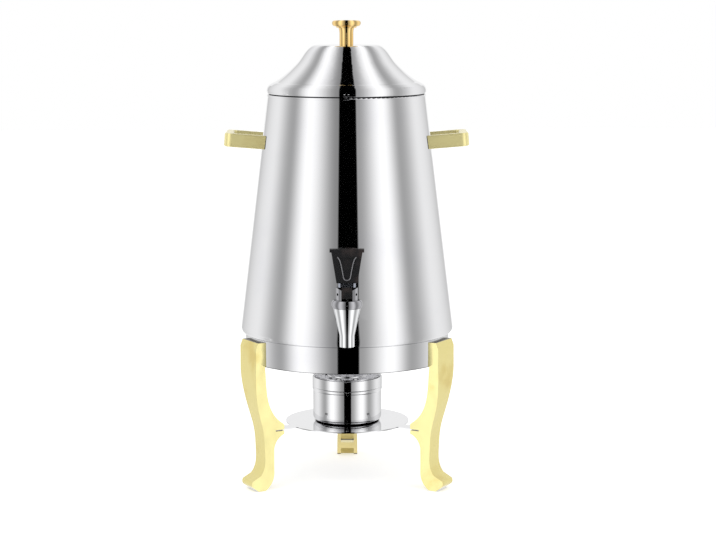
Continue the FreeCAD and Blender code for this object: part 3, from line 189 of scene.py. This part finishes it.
def make_polish_marks():
    """Fine rings left by the polishing wheel, and faint smudges from handling."""
    tree, given, out = make_group(
        "polish_marks",
        {"Base Roughness": 0.04, "Smudge Roughness": 0.03, "Mark Depth": 1e-6, "Marks Per Metre": 900.0},
        {"Roughness": "NodeSocketFloat", "Normal": "NodeSocketVector", "Smudges": "NodeSocketFloat"})
    scales = add_node(tree, "ShaderNodeCombineXYZ")
    scales.inputs["X"].default_value = MARK_ENDS_PER_METRE
    scales.inputs["Y"].default_value = MARK_ENDS_PER_METRE
    tree.links.new(given.outputs["Marks Per Metre"], scales.inputs["Z"])
    marks = noise(tree, stretched(tree, scales.outputs[0]), 1.0, detail=3.0)
    cloud = noise(tree, stretched(tree, (1, 1, 1)), SMUDGES_PER_METRE, detail=4.0)
    smudges = patches(tree, cloud, *SMUDGE_SPREAD)
    dulled = calculate(tree, "MULTIPLY", smudges, given.outputs["Smudge Roughness"])
    marked = calculate(tree, "MULTIPLY_ADD", marks, MARK_ROUGHNESS, dulled)
    tree.links.new(calculate(tree, "ADD", marked, given.outputs["Base Roughness"]), out.inputs["Roughness"])
    tree.links.new(relief(tree, marks, given.outputs["Mark Depth"]), out.inputs["Normal"])
    tree.links.new(smudges, out.inputs["Smudges"])
    return tree


def make_cast_waviness():
    """Slow waves of a hand polished casting, small pits under the plating, and thinner plating in patches."""
    tree, given, out = make_group(
        "cast_waviness",
        {"Base Roughness": 0.07, "Wave Depth": 3e-5, "Pit Depth": 8e-6},
        {"Roughness": "NodeSocketFloat", "Normal": "NodeSocketVector", "Thin Plating": "NodeSocketFloat"})
    place = stretched(tree, (1, 1, 1))
    waves = noise(tree, place, WAVES_PER_METRE, detail=1.0)
    pits = patches(tree, noise(tree, place, PITS_PER_METRE, detail=2.0), *PIT_SPREAD)
    thin = patches(tree, noise(tree, place, THIN_SPOTS_PER_METRE, detail=3.0), *THIN_SPREAD)
    waved = relief(tree, waves, given.outputs["Wave Depth"])
    sunk = calculate(tree, "SUBTRACT", 1.0, pits)
    tree.links.new(relief(tree, sunk, given.outputs["Pit Depth"], waved), out.inputs["Normal"])
    dulled = calculate(tree, "MULTIPLY_ADD", thin, THIN_ROUGHNESS, given.outputs["Base Roughness"])
    tree.links.new(calculate(tree, "MULTIPLY_ADD", pits, PIT_ROUGHNESS, dulled), out.inputs["Roughness"])
    tree.links.new(thin, out.inputs["Thin Plating"])
    return tree


def make_moulded_grain():
    """Fine grain of a moulding, and duller patches where it is touched."""
    tree, given, out = make_group(
        "moulded_grain",
        {"Base Roughness": 0.3, "Grain Depth": 1e-5, "Grain Per Metre": 2500.0},
        {"Roughness": "NodeSocketFloat", "Normal": "NodeSocketVector", "Touched": "NodeSocketFloat"})
    scales = add_node(tree, "ShaderNodeCombineXYZ")
    for label in ("X", "Y", "Z"):
        tree.links.new(given.outputs["Grain Per Metre"], scales.inputs[label])
    grain = noise(tree, stretched(tree, scales.outputs[0]), 1.0, detail=2.0)
    cloud = noise(tree, stretched(tree, (1, 1, 1)), TOUCHES_PER_METRE, detail=3.0)
    touched = patches(tree, cloud, *TOUCH_SPREAD)
    grained = calculate(tree, "MULTIPLY_ADD", grain, GRAIN_ROUGHNESS, given.outputs["Base Roughness"])
    roughness = calculate(tree, "MULTIPLY_ADD", touched, TOUCH_ROUGHNESS, grained)
    tree.links.new(roughness, out.inputs["Roughness"])
    tree.links.new(relief(tree, grain, given.outputs["Grain Depth"]), out.inputs["Normal"])
    tree.links.new(touched, out.inputs["Touched"])
    return tree


def make_seam_shade():
    """Shade that gathers in narrow seams and under overlapping edges, within a reach in metres."""
    tree, given, out = make_group("seam_shade", {"Reach": 0.003}, {"Shade": "NodeSocketFloat"})
    cover = add_node(tree, "ShaderNodeAmbientOcclusion", samples=SEAM_SAMPLES)
    tree.links.new(given.outputs["Reach"], cover.inputs["Distance"])
    covered = calculate(tree, "SUBTRACT", 1.0, cover.outputs["AO"])
    tree.links.new(patches(tree, covered, *SEAM_COVER), out.inputs["Shade"])
    return tree


# Finishes

# Painted shade: near black, mixed into the base colour where ambient occlusion finds narrow seams and
# overlapping edges
SEAM_SHADE_COLOUR = (0.04, 0.04, 0.04, 1.0)
SEAM_REACH = 0.003
# Painted shade: a dark band along the lowest edge of the lid, the tank and the stand ring, between the
# heights below
FOOT_SHADE_COLOUR = (0.14, 0.14, 0.15, 1.0)
LID_FOOT_HEIGHTS = (0.4700, 0.4712)
TANK_FOOT_HEIGHTS = (0.1826, 0.1838)
RING_FOOT_HEIGHTS = (0.1517, 0.1526)
# Painted shade: the legs' crisp edges and pad tops turn dark brown above these heights
CRISP_EDGE_HEIGHTS = (0.118, 0.130)


def mixed_colour(tree, mask, first, second):
    """Colour that goes from the first to the second as the mask goes from 0 to 1."""
    blend = add_node(tree, "ShaderNodeMix", data_type="RGBA")
    tree.links.new(mask, blend.inputs["Factor"])
    feed(tree, first, blend.inputs["A"])
    feed(tree, second, blend.inputs["B"])
    return blend.outputs["Result"]


def mask_above(tree, heights):
    """A mask that rises from 0 to 1 between two heights in metres."""
    separate = add_node(tree, "ShaderNodeSeparateXYZ")
    tree.links.new(stretched(tree, (1, 1, 1)), separate.inputs[0])
    return patches(tree, separate.outputs["Z"], *heights)


def make_finish(name, groups, settings, colour, second_colour, mask, metallic=1.0,
                mask_by_height=None, shaded_foot=None):
    """Material whose roughness and normal come from a surface effect, and its colour from two by a mask.

    The mask is one of the effect's outputs, or rises between two heights in metres. Seams get painted shade,
    and a turned-in lower edge between two heights gets a painted dark band of shade.
    """
    effect_group, seam_group = groups
    material = bpy.data.materials.new(name)
    material.use_nodes = True
    tree = material.node_tree
    shader = tree.nodes["Principled BSDF"]
    effect = add_node(tree, "ShaderNodeGroup", node_tree=effect_group)
    for label, value in settings.items():
        effect.inputs[label].default_value = value
    seams = add_node(tree, "ShaderNodeGroup", node_tree=seam_group)
    seams.inputs["Reach"].default_value = SEAM_REACH
    amount = mask_above(tree, mask_by_height) if mask_by_height else effect.outputs[mask]
    plain = mixed_colour(tree, amount, (*colour, 1), (*second_colour, 1))
    # Painted shade along the lower edge between the two heights
    if shaded_foot:
        plain = mixed_colour(tree, mask_above(tree, shaded_foot), FOOT_SHADE_COLOUR, plain)
    # Painted shade in seams and under overlapping edges
    shaded = mixed_colour(tree, seams.outputs["Shade"], plain, SEAM_SHADE_COLOUR)
    tree.links.new(shaded, shader.inputs["Base Color"])
    tree.links.new(effect.outputs["Roughness"], shader.inputs["Roughness"])
    tree.links.new(effect.outputs["Normal"], shader.inputs["Normal"])
    shader.inputs["Metallic"].default_value = metallic
    return material


def make_finishes():
    """Every finish of the urn by name."""
    seams = make_seam_shade()
    polish = (make_polish_marks(), seams)
    cast = (make_cast_waviness(), seams)
    moulded = (make_moulded_grain(), seams)
    mirror = {"Base Roughness": 0.025, "Smudge Roughness": 0.02, "Mark Depth": 4e-7,
              "Marks Per Metre": 900.0}
    steel = (0.80, 0.80, 0.81)
    smudged_steel = (0.77, 0.77, 0.79)
    return {
        "polished_steel": make_finish("polished_steel", polish, mirror, steel, smudged_steel, "Smudges"),
        # The lid, tank and ring steels are the polished steel with a painted dark band of shade along their
        # lower edges
        "lid_steel": make_finish(
            "lid_steel", polish, mirror, steel, smudged_steel, "Smudges", shaded_foot=LID_FOOT_HEIGHTS),
        "tank_steel": make_finish(
            "tank_steel", polish, mirror, steel, smudged_steel, "Smudges", shaded_foot=TANK_FOOT_HEIGHTS),
        "ring_steel": make_finish(
            "ring_steel", polish, mirror, steel, smudged_steel, "Smudges", shaded_foot=RING_FOOT_HEIGHTS),
        "pressed_steel": make_finish(
            "pressed_steel", polish,
            {"Base Roughness": 0.05, "Smudge Roughness": 0.05, "Mark Depth": 1e-6, "Marks Per Metre": 1300.0},
            steel, (0.74, 0.74, 0.76), "Smudges"),
        "tap_chrome": make_finish(
            "tap_chrome", polish,
            {"Base Roughness": 0.02, "Smudge Roughness": 0.03, "Mark Depth": 3e-7, "Marks Per Metre": 2000.0},
            (0.86, 0.87, 0.88), (0.80, 0.81, 0.83), "Smudges"),
        "bonnet_chrome": make_finish(
            "bonnet_chrome", polish,
            {"Base Roughness": 0.05, "Smudge Roughness": 0.05, "Mark Depth": 6e-7, "Marks Per Metre": 2000.0},
            (0.42, 0.42, 0.44), (0.30, 0.30, 0.31), "Smudges"),
        "fixing_steel": make_finish(
            "fixing_steel", polish,
            {"Base Roughness": 0.16, "Smudge Roughness": 0.1, "Mark Depth": 4e-6, "Marks Per Metre": 4000.0},
            (0.62, 0.62, 0.63), (0.52, 0.51, 0.50), "Smudges"),
        "collar_metal": make_finish(
            "collar_metal", polish,
            {"Base Roughness": 0.12, "Smudge Roughness": 0.08, "Mark Depth": 2e-6, "Marks Per Metre": 2500.0},
            (0.38, 0.40, 0.46), (0.30, 0.31, 0.36), "Smudges"),
        "lacquered_gold": make_finish(
            "lacquered_gold", cast, {"Base Roughness": 0.22, "Wave Depth": 1e-4, "Pit Depth": 5e-6},
            (0.86, 0.77, 0.37), (0.80, 0.69, 0.31), "Thin Plating", metallic=0.5),
        # Painted light and shade: the leg's outer face gets a darker gold and its side faces a lighter gold
        "gold_outer_face_shaded": make_finish(
            "gold_outer_face_shaded", cast, {"Base Roughness": 0.10, "Wave Depth": 7e-4, "Pit Depth": 8e-6},
            (0.78, 0.68, 0.28), (0.70, 0.56, 0.19), "Thin Plating", metallic=0.85),
        "gold_side_face_lit": make_finish(
            "gold_side_face_lit", cast, {"Base Roughness": 0.08, "Wave Depth": 7e-4, "Pit Depth": 6e-6},
            (0.90, 0.81, 0.38), (0.83, 0.70, 0.27), "Thin Plating", metallic=0.85),
        "gold_as_cast": make_finish(
            "gold_as_cast", cast, {"Base Roughness": 0.75, "Wave Depth": 4e-4, "Pit Depth": 3e-5},
            (0.95, 0.82, 0.40), (0.86, 0.68, 0.28), "Thin Plating", metallic=0.35),
        # Painted shade: gold below and dark brown above the crisp-edge heights, on the legs' rounded edges
        # and pad tops
        "gold_shaded_edge": make_finish(
            "gold_shaded_edge", cast, {"Base Roughness": 0.15, "Wave Depth": 1e-4, "Pit Depth": 8e-6},
            (0.78, 0.67, 0.28), (0.13, 0.10, 0.035), None, mask_by_height=CRISP_EDGE_HEIGHTS),
        "knob_brass": make_finish(
            "knob_brass", cast, {"Base Roughness": 0.05, "Wave Depth": 1e-5, "Pit Depth": 3e-6},
            (0.95, 0.67, 0.27), (0.88, 0.56, 0.18), "Thin Plating"),
        "black_plastic": make_finish(
            "black_plastic", moulded,
            {"Base Roughness": 0.22, "Grain Depth": 6e-6, "Grain Per Metre": 3000.0},
            (0.010, 0.010, 0.011), (0.026, 0.019, 0.018), "Touched", metallic=0.0),
        # Painted highlight: the ridge is a lighter, partly metallic grey, not the paddle's black plastic
        "ridge_plastic_painted_sheen": make_finish(
            "ridge_plastic_painted_sheen", moulded, {"Base Roughness": 0.2, "Grain Depth": 3e-6, "Grain Per Metre": 3000.0},
            (0.20, 0.20, 0.21), (0.14, 0.13, 0.13), "Touched", metallic=0.4),
        "black_fibre": make_finish(
            "black_fibre", moulded, {"Base Roughness": 0.55, "Grain Depth": 3e-5, "Grain Per Metre": 1500.0},
            (0.035, 0.034, 0.034), (0.06, 0.058, 0.055), "Touched", metallic=0.0),
        "white_silicone": make_finish(
            "white_silicone", moulded,
            {"Base Roughness": 0.5, "Grain Depth": 2e-5, "Grain Per Metre": 1800.0},
            (0.72, 0.71, 0.68), (0.64, 0.62, 0.58), "Touched", metallic=0.0),
    }


FINISH_BY_NAME = [
    (("leg_left", "leg_right", "leg_rear", "handle_left", "handle_right"), "lacquered_gold"),
    (("lid_knob",), "knob_brass"),
    (("lid_shell",), "lid_steel"),
    (("tank_shell",), "tank_steel"),
    (("stand_ring",), "ring_steel"),
    (("collar",), "collar_metal"),
    (("tap_lever",), "black_plastic"),
    (("seals", "seat_cup", "gasket_inner"), "white_silicone"),
    (("gasket",), "black_fibre"),
    (("screw", "washer", "nut", "rivet", "spring", "_pin", "tap_shank", "tap_stem"), "fixing_steel"),
    (("tap_bonnet",), "bonnet_chrome"),
    (("tap_",), "tap_chrome"),
    (("burner",), "pressed_steel"),
    (("tank", "lid"), "polished_steel"),
]


def finish_name(node_name):
    """Finish of a node, by the first entry whose words are in its name."""
    for words, finish in FINISH_BY_NAME:
        if any(word in node_name for word in words):
            return finish
    return "fixing_steel"


def dress_nodes(finishes):
    """A finish in every material slot of every node."""
    for name, node in nodes.items():
        finish = finishes[finish_name(name)]
        slots = node.data.materials
        if not slots:
            slots.append(finish)
        for place in range(len(slots)):
            slots[place] = finish


# Nodes that the photograph's polished walls don't mirror, beside the legs
UNMIRRORED = ("handle_left", "handle_right", "handle_gaskets", "handle_screws", "handle_seals",
              "leg_screws", "leg_washers", "shelf_screws")


# Finer pieces, in millimetres but for the weld and the height of the pad's top, which are in metres

LEG_EDGE_ROUND = 2.0
SHARP_ANGLE = math.radians(28)
EDGE_STEPS = 3
FLAT_WITHIN = math.radians(0.5)
WELD_DISTANCE = 1e-6
FACING_IN = -0.3
FACING_SIDEWAYS = 0.6
FACING_UP = 0.5
PAD_TOP_HEIGHT = 0.17
RIDGE_ROUND = 0.6
RIDGE_SIDES = 20
RIDGE_CORNER_CUTS = 3
NEAR_SHARE = 0.25
# Half of the ridge round the paddle's recess, across from the middle and up from the bottom of the recess
RIDGE_OUTLINE = [(10.4, 25.4), (7.7, 21.9), (5.4, 11.0), (3.7, 0.9), (1.7, -0.6)]
RECESS_ABOVE_PADDLE_FOOT = 4.0
PADDLE_HEIGHT = 38.5


def clean_copy(node_name, name):
    """New mesh of a node: its corners welded, its flat seams dissolved and its own normals dropped."""
    work = bmesh.new()
    work.from_mesh(nodes[node_name].data)
    bmesh.ops.remove_doubles(work, verts=work.verts, dist=WELD_DISTANCE)
    bmesh.ops.dissolve_limit(work, angle_limit=FLAT_WITHIN, verts=work.verts, edges=work.edges)
    mesh = bpy.data.meshes.new(name)
    work.to_mesh(mesh)
    work.free()
    for label in ("custom_normal", "sharp_edge", "sharp_face"):
        attribute = mesh.attributes.get(label)
        if attribute:
            mesh.attributes.remove(attribute)
    mesh.polygons.foreach_set("use_smooth", np.ones(len(mesh.polygons), bool))
    return mesh


def place_piece(mesh, name, body, replaced=()):
    """A piece of the urn from a mesh in the shared frame, moving with a body."""
    piece = bpy.data.objects.new(name, mesh)
    bpy.context.scene.collection.objects.link(piece)
    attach(piece, body)
    if replaced:
        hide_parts(*replaced)
    return piece


def weigh_shared_edges(mesh, chosen, first, second):
    """Bevel weight 1 on every edge between a face of the first kind and one of the second.

    The other edges stay sharp where their faces meet at more than the sharp angle.
    """
    count = len(mesh.polygons)
    edge_of_corner = np.empty(len(mesh.loops), np.int32)
    mesh.loops.foreach_get("edge_index", edge_of_corner)
    corners = np.empty(count, np.int32)
    mesh.polygons.foreach_get("loop_total", corners)
    kind_of_corner = chosen[np.repeat(np.arange(count), corners)]
    touches_first = np.zeros(len(mesh.edges), bool)
    touches_second = np.zeros(len(mesh.edges), bool)
    touches_first[edge_of_corner[kind_of_corner == first]] = True
    touches_second[edge_of_corner[kind_of_corner == second]] = True
    shared = touches_first & touches_second
    weight = mesh.attributes.new("bevel_weight_edge", "FLOAT", "EDGE")
    weight.data.foreach_set("value", shared.astype(np.float32))
    mesh.set_sharp_from_angle(angle=SHARP_ANGLE)
    sharp = np.zeros(len(mesh.edges), bool)
    mesh.edges.foreach_get("use_edge_sharp", sharp)
    mesh.edges.foreach_set("use_edge_sharp", sharp & ~shared)


def make_rounded_leg(node_name, faces_finishes):
    """The leg's casting with rounded edges.

    It is polished on its sides and outer face, with painted light on the sides and painted shade on the outer
    face, and left as cast where it faces the urn's axis. Painted shade darkens its crisp upper edges and the
    top of its pad. The finishes come in that order: side, outer, back, edge.
    """
    mesh = clean_copy(node_name, node_name + "_casting")
    mesh.materials.clear()
    for finish in faces_finishes:
        mesh.materials.append(finish)
    side, outer, back, edge = range(len(faces_finishes))
    count = len(mesh.polygons)
    middles = np.empty(count * 3)
    normals = np.empty(count * 3)
    mesh.polygons.foreach_get("center", middles)
    mesh.polygons.foreach_get("normal", normals)
    middles = middles.reshape(count, 3)
    normals = normals.reshape(count, 3)
    outward = middles[:, :2] - np.array([0.0, AXIS_Y])
    outward /= np.linalg.norm(outward, axis=1)[:, None]
    sideways = np.stack([-outward[:, 1], outward[:, 0]], axis=1)
    chosen = np.full(count, outer)
    chosen[(normals[:, :2] * outward).sum(axis=1) < FACING_IN] = back
    chosen[np.abs((normals[:, :2] * sideways).sum(axis=1)) > FACING_SIDEWAYS] = side
    # Pad tops take the edge finish, and with it painted shadow
    chosen[(normals[:, 2] > FACING_UP) & (middles[:, 2] > PAD_TOP_HEIGHT)] = edge
    mesh.polygons.foreach_set("material_index", chosen.astype(np.int32))
    weigh_shared_edges(mesh, chosen, side, outer)
    piece = place_piece(mesh, node_name + "_casting", "stand", [node_name])
    piece.visible_glossy = False
    rounding = piece.modifiers.new("rounded_edges", "BEVEL")
    rounding.width = LEG_EDGE_ROUND / MM_PER_METRE
    rounding.segments = EDGE_STEPS
    rounding.limit_method = "WEIGHT"
    # The rounded edges take the edge finish, painted dark in their upper part
    rounding.material = edge
    rounding.harden_normals = True


def make_closing_spring(finish):
    """The tap's spring, held by the bonnet at its top; a copy of its node's mesh that moves with the tank."""
    mesh = clean_copy("tap_spring", "tap_spring_coil")
    mesh.materials.clear()
    mesh.materials.append(finish)
    piece = place_piece(mesh, "tap_spring_coil", "tank", ["tap_spring"])
    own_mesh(piece)


def rounded_path(corners, times):
    """Path with its corners cut: each piece keeps its quarter points, as many times as asked."""
    path = np.array(corners, float)
    for _ in range(times):
        near = (1 - NEAR_SHARE) * path[:-1] + NEAR_SHARE * path[1:]
        far = NEAR_SHARE * path[:-1] + (1 - NEAR_SHARE) * path[1:]
        middle = np.stack([near, far], axis=1).reshape(-1, path.shape[1])
        path = np.concatenate([path[:1], middle, path[-1:]])
    return path


def bead_mesh(name, path, radius, sides):
    """Round bead along a path in an upright plane that faces the front.

    A point is the path's place at u, plus the radius times (cos v across the path + sin v forwards).
    Each end closes in a pole.
    """
    forwards = np.array([0.0, -1.0, 0.0])
    along = np.gradient(path, axis=0)
    along /= np.linalg.norm(along, axis=1)[:, None]
    across = np.cross(along, forwards)
    turn = np.linspace(0, 2 * math.pi, sides, endpoint=False)
    ring = np.cos(turn)[None, :, None] * across[:, None, :] + np.sin(turn)[None, :, None] * forwards
    points = (path[:, None, :] + radius * ring).reshape(-1, 3)
    count = len(path)
    points = np.concatenate([points, path[:1] - radius * along[:1], path[-1:] + radius * along[-1:]])
    row, column = np.meshgrid(np.arange(count - 1), np.arange(sides), indexing="ij")
    after = (column + 1) % sides
    quads = np.stack([row * sides + column, (row + 1) * sides + column,
                      (row + 1) * sides + after, row * sides + after], axis=-1).reshape(-1, 4)
    step = np.arange(sides)
    following = (step + 1) % sides
    first_pole = np.full(sides, count * sides)
    last_row = (count - 1) * sides
    start = np.stack([first_pole, step, following], axis=1)
    end = np.stack([first_pole + 1, last_row + following, last_row + step], axis=1)
    mesh = bpy.data.meshes.new(name)
    places = points / MM_PER_METRE
    mesh.from_pydata(places.tolist(), [], quads.tolist() + start.tolist() + end.tolist())
    mesh.polygons.foreach_set("use_smooth", np.ones(len(mesh.polygons), bool))
    work = bmesh.new()
    work.from_mesh(mesh)
    bmesh.ops.recalc_face_normals(work, faces=work.faces)
    work.to_mesh(mesh)
    work.free()
    return mesh


def make_paddle_ridge(finish):
    """Raised ridge round the sides and the foot of the paddle's recess, open at the top, with a painted
    highlight in its lighter grey colour.
    """
    lever_low, lever_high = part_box("tap_lever")
    front = lever_low.y * MM_PER_METRE
    foot = lever_high.z * MM_PER_METRE - PADDLE_HEIGHT + RECESS_ABOVE_PADDLE_FOOT
    right = [(across, front, foot + up) for across, up in RIDGE_OUTLINE]
    left = [(-across, front, height) for across, front, height in reversed(right)]
    path = rounded_path(right + left, RIDGE_CORNER_CUTS)
    mesh = bead_mesh("paddle_ridge", path, RIDGE_ROUND, RIDGE_SIDES)
    mesh.materials.append(finish)
    place_piece(mesh, "paddle_ridge", "lever")


# Studio

# Brightness of the studio against twice the angle of the surface that mirrors it, in degrees, 0 facing
# the camera and positive to the right: a dark gap where the camera stands, then a soft box and a paler
# wall on each side
STUDIO_ROUND = [
    (-180, 0.5), (-115, 1.0), (-80, 0.45), (-52, 1.3), (-11, 0.3), (-10, 0.0),
    (13, 0.0), (14, 0.4), (50, 1.3), (77, 0.45), (115, 1.0), (180, 0.5),
]
# A pale band low in front, which upright flat faces mirror instead of the dark gap
LOW_BAND_MIDDLE = -0.066
LOW_BAND_REACH = 0.068
LOW_BAND_ASIDE = 0.051
LOW_BAND_ASIDE_REACH = 0.018
LOW_BAND_FULL_SHARE = 0.8
LOW_BAND_BRIGHTNESS = 0.95
# The pale wall straight behind the urn, which level faces mirror
WALL_BEHIND = (0.93, 0.955)
WALL_BRIGHTNESS = 0.97
AMBIENT = 0.78
WHITE = (1.0, 1.0, 1.0, 1.0)
FLOOR_REACH = 6.0
FLOOR_COLOUR = (0.90, 0.90, 0.90, 1.0)
FLOOR_GLOW = 0.42
KEY_PLACE = (-0.9, -1.1, 1.9)
KEY_SIZE = 1.6
KEY_POWER = 14.0
FILL_PLACE = (1.3, -0.7, 1.5)
FILL_SIZE = 1.4
FILL_POWER = 7.0
LAMP_AIM_HEIGHT = 0.25


def studio_angle(tree, separate):
    """Twice the angle of the surface that mirrors a direction to the front, from 0 to 1 for a full turn."""
    behind = calculate(tree, "SUBTRACT", 1.0, separate.outputs["Y"])
    half_angle = calculate(tree, "ARCTAN2", separate.outputs["X"], behind)
    return calculate(tree, "MULTIPLY_ADD", half_angle, 1 / math.pi, 0.5)


def make_world():
    """White to the camera, the studio's bright and dark sides to polished metal, soft grey to the rest."""
    world = bpy.data.worlds.new("studio")
    bpy.context.scene.world = world
    world.use_nodes = True
    tree = world.node_tree
    background = tree.nodes["Background"]
    ramp = add_node(tree, "ShaderNodeValToRGB")
    ramp.color_ramp.interpolation = "EASE"
    elements = ramp.color_ramp.elements
    ready = len(elements)
    for place, (angle, brightness) in enumerate(STUDIO_ROUND):
        position = angle / FULL_TURN_DEGREES + 0.5
        element = elements[place] if place < ready else elements.new(position)
        element.position = position
        element.color = (brightness, brightness, brightness, 1)
    coordinates = add_node(tree, "ShaderNodeTexCoord")
    separate = add_node(tree, "ShaderNodeSeparateXYZ")
    tree.links.new(coordinates.outputs["Generated"], separate.inputs[0])
    tree.links.new(studio_angle(tree, separate), ramp.inputs["Fac"])
    above_band = calculate(tree, "SUBTRACT", separate.outputs["Z"], LOW_BAND_MIDDLE)
    from_middle = calculate(tree, "ABSOLUTE", above_band)
    outside = patches(tree, from_middle, LOW_BAND_REACH * LOW_BAND_FULL_SHARE, LOW_BAND_REACH)
    to_side = calculate(tree, "ABSOLUTE", separate.outputs["X"])
    off_side = calculate(tree, "ABSOLUTE", calculate(tree, "SUBTRACT", to_side, LOW_BAND_ASIDE))
    full_reach = LOW_BAND_ASIDE_REACH * LOW_BAND_FULL_SHARE
    too_far = patches(tree, off_side, full_reach, LOW_BAND_ASIDE_REACH)
    inside = calculate(tree, "SUBTRACT", 1.0, calculate(tree, "MAXIMUM", outside, too_far))
    band = calculate(tree, "MULTIPLY", inside, LOW_BAND_BRIGHTNESS)
    wall = patches(tree, separate.outputs["Y"], *WALL_BEHIND)
    around = add_node(tree, "ShaderNodeMix", data_type="RGBA", blend_type="LIGHTEN")
    around.inputs["Factor"].default_value = 1.0
    tree.links.new(ramp.outputs["Color"], around.inputs["A"])
    tree.links.new(band, around.inputs["B"])
    path = add_node(tree, "ShaderNodeLightPath")
    mirrored = calculate(tree, "MAXIMUM", path.outputs["Is Glossy Ray"], path.outputs["Is Transmission Ray"])
    to_metal = add_node(tree, "ShaderNodeMix", data_type="RGBA")
    to_metal.inputs["A"].default_value = (AMBIENT, AMBIENT, AMBIENT, 1)
    tree.links.new(mirrored, to_metal.inputs["Factor"])
    wall_colour = (WALL_BRIGHTNESS, WALL_BRIGHTNESS, WALL_BRIGHTNESS, 1)
    tree.links.new(mixed_colour(tree, wall, around.outputs["Result"], wall_colour), to_metal.inputs["B"])
    to_camera = add_node(tree, "ShaderNodeMix", data_type="RGBA")
    to_camera.inputs["B"].default_value = WHITE
    tree.links.new(path.outputs["Is Camera Ray"], to_camera.inputs["Factor"])
    tree.links.new(to_metal.outputs["Result"], to_camera.inputs["A"])
    tree.links.new(to_camera.outputs["Result"], background.inputs["Color"])


def make_floor():
    """Pale floor that glows a little and keeps the shadow, and that polished metal doesn't mirror."""
    mesh = bpy.data.meshes.new("studio_floor")
    reach = FLOOR_REACH
    mesh.from_pydata([(-reach, -reach, 0), (reach, -reach, 0), (reach, reach, 0), (-reach, reach, 0)], [],
                     [(0, 1, 2, 3)])
    floor = bpy.data.objects.new("studio_floor", mesh)
    bpy.context.scene.collection.objects.link(floor)
    material = bpy.data.materials.new("floor_paper")
    material.use_nodes = True
    shader = material.node_tree.nodes["Principled BSDF"]
    shader.inputs["Base Color"].default_value = FLOOR_COLOUR
    shader.inputs["Roughness"].default_value = 1.0
    shader.inputs["Emission Color"].default_value = WHITE
    shader.inputs["Emission Strength"].default_value = FLOOR_GLOW
    mesh.materials.append(material)
    floor.visible_glossy = False
    floor.visible_transmission = False


def make_lamp(name, place, size, power):
    """Square soft lamp turned towards the middle of the urn, unseen in polished metal."""
    data = bpy.data.lights.new(name, "AREA")
    data.shape = "SQUARE"
    data.size = size
    data.energy = power
    lamp = bpy.data.objects.new(name, data)
    lamp.location = place
    away = lamp.location.copy()
    away.z -= LAMP_AIM_HEIGHT
    lamp.rotation_euler = away.to_track_quat("Z", "Y").to_euler()
    lamp.visible_glossy = False
    bpy.context.scene.collection.objects.link(lamp)


make_camera()
make_world()
make_floor()
make_lamp("key_lamp", KEY_PLACE, KEY_SIZE, KEY_POWER)
make_lamp("fill_lamp", FILL_PLACE, FILL_SIZE, FILL_POWER)
finishes = make_finishes()
dress_nodes(finishes)
leg_faces = ("gold_side_face_lit", "gold_outer_face_shaded", "gold_as_cast", "gold_shaded_edge")
leg_finishes = [finishes[face] for face in leg_faces]
for leg_name in ("leg_left", "leg_right", "leg_rear"):
    make_rounded_leg(leg_name, leg_finishes)
make_closing_spring(finishes["fixing_steel"])
make_paddle_ridge(finishes["ridge_plastic_painted_sheen"])
for name in UNMIRRORED:
    nodes[name].visible_glossy = False
bpy.context.scene.view_settings.view_transform = "Standard"
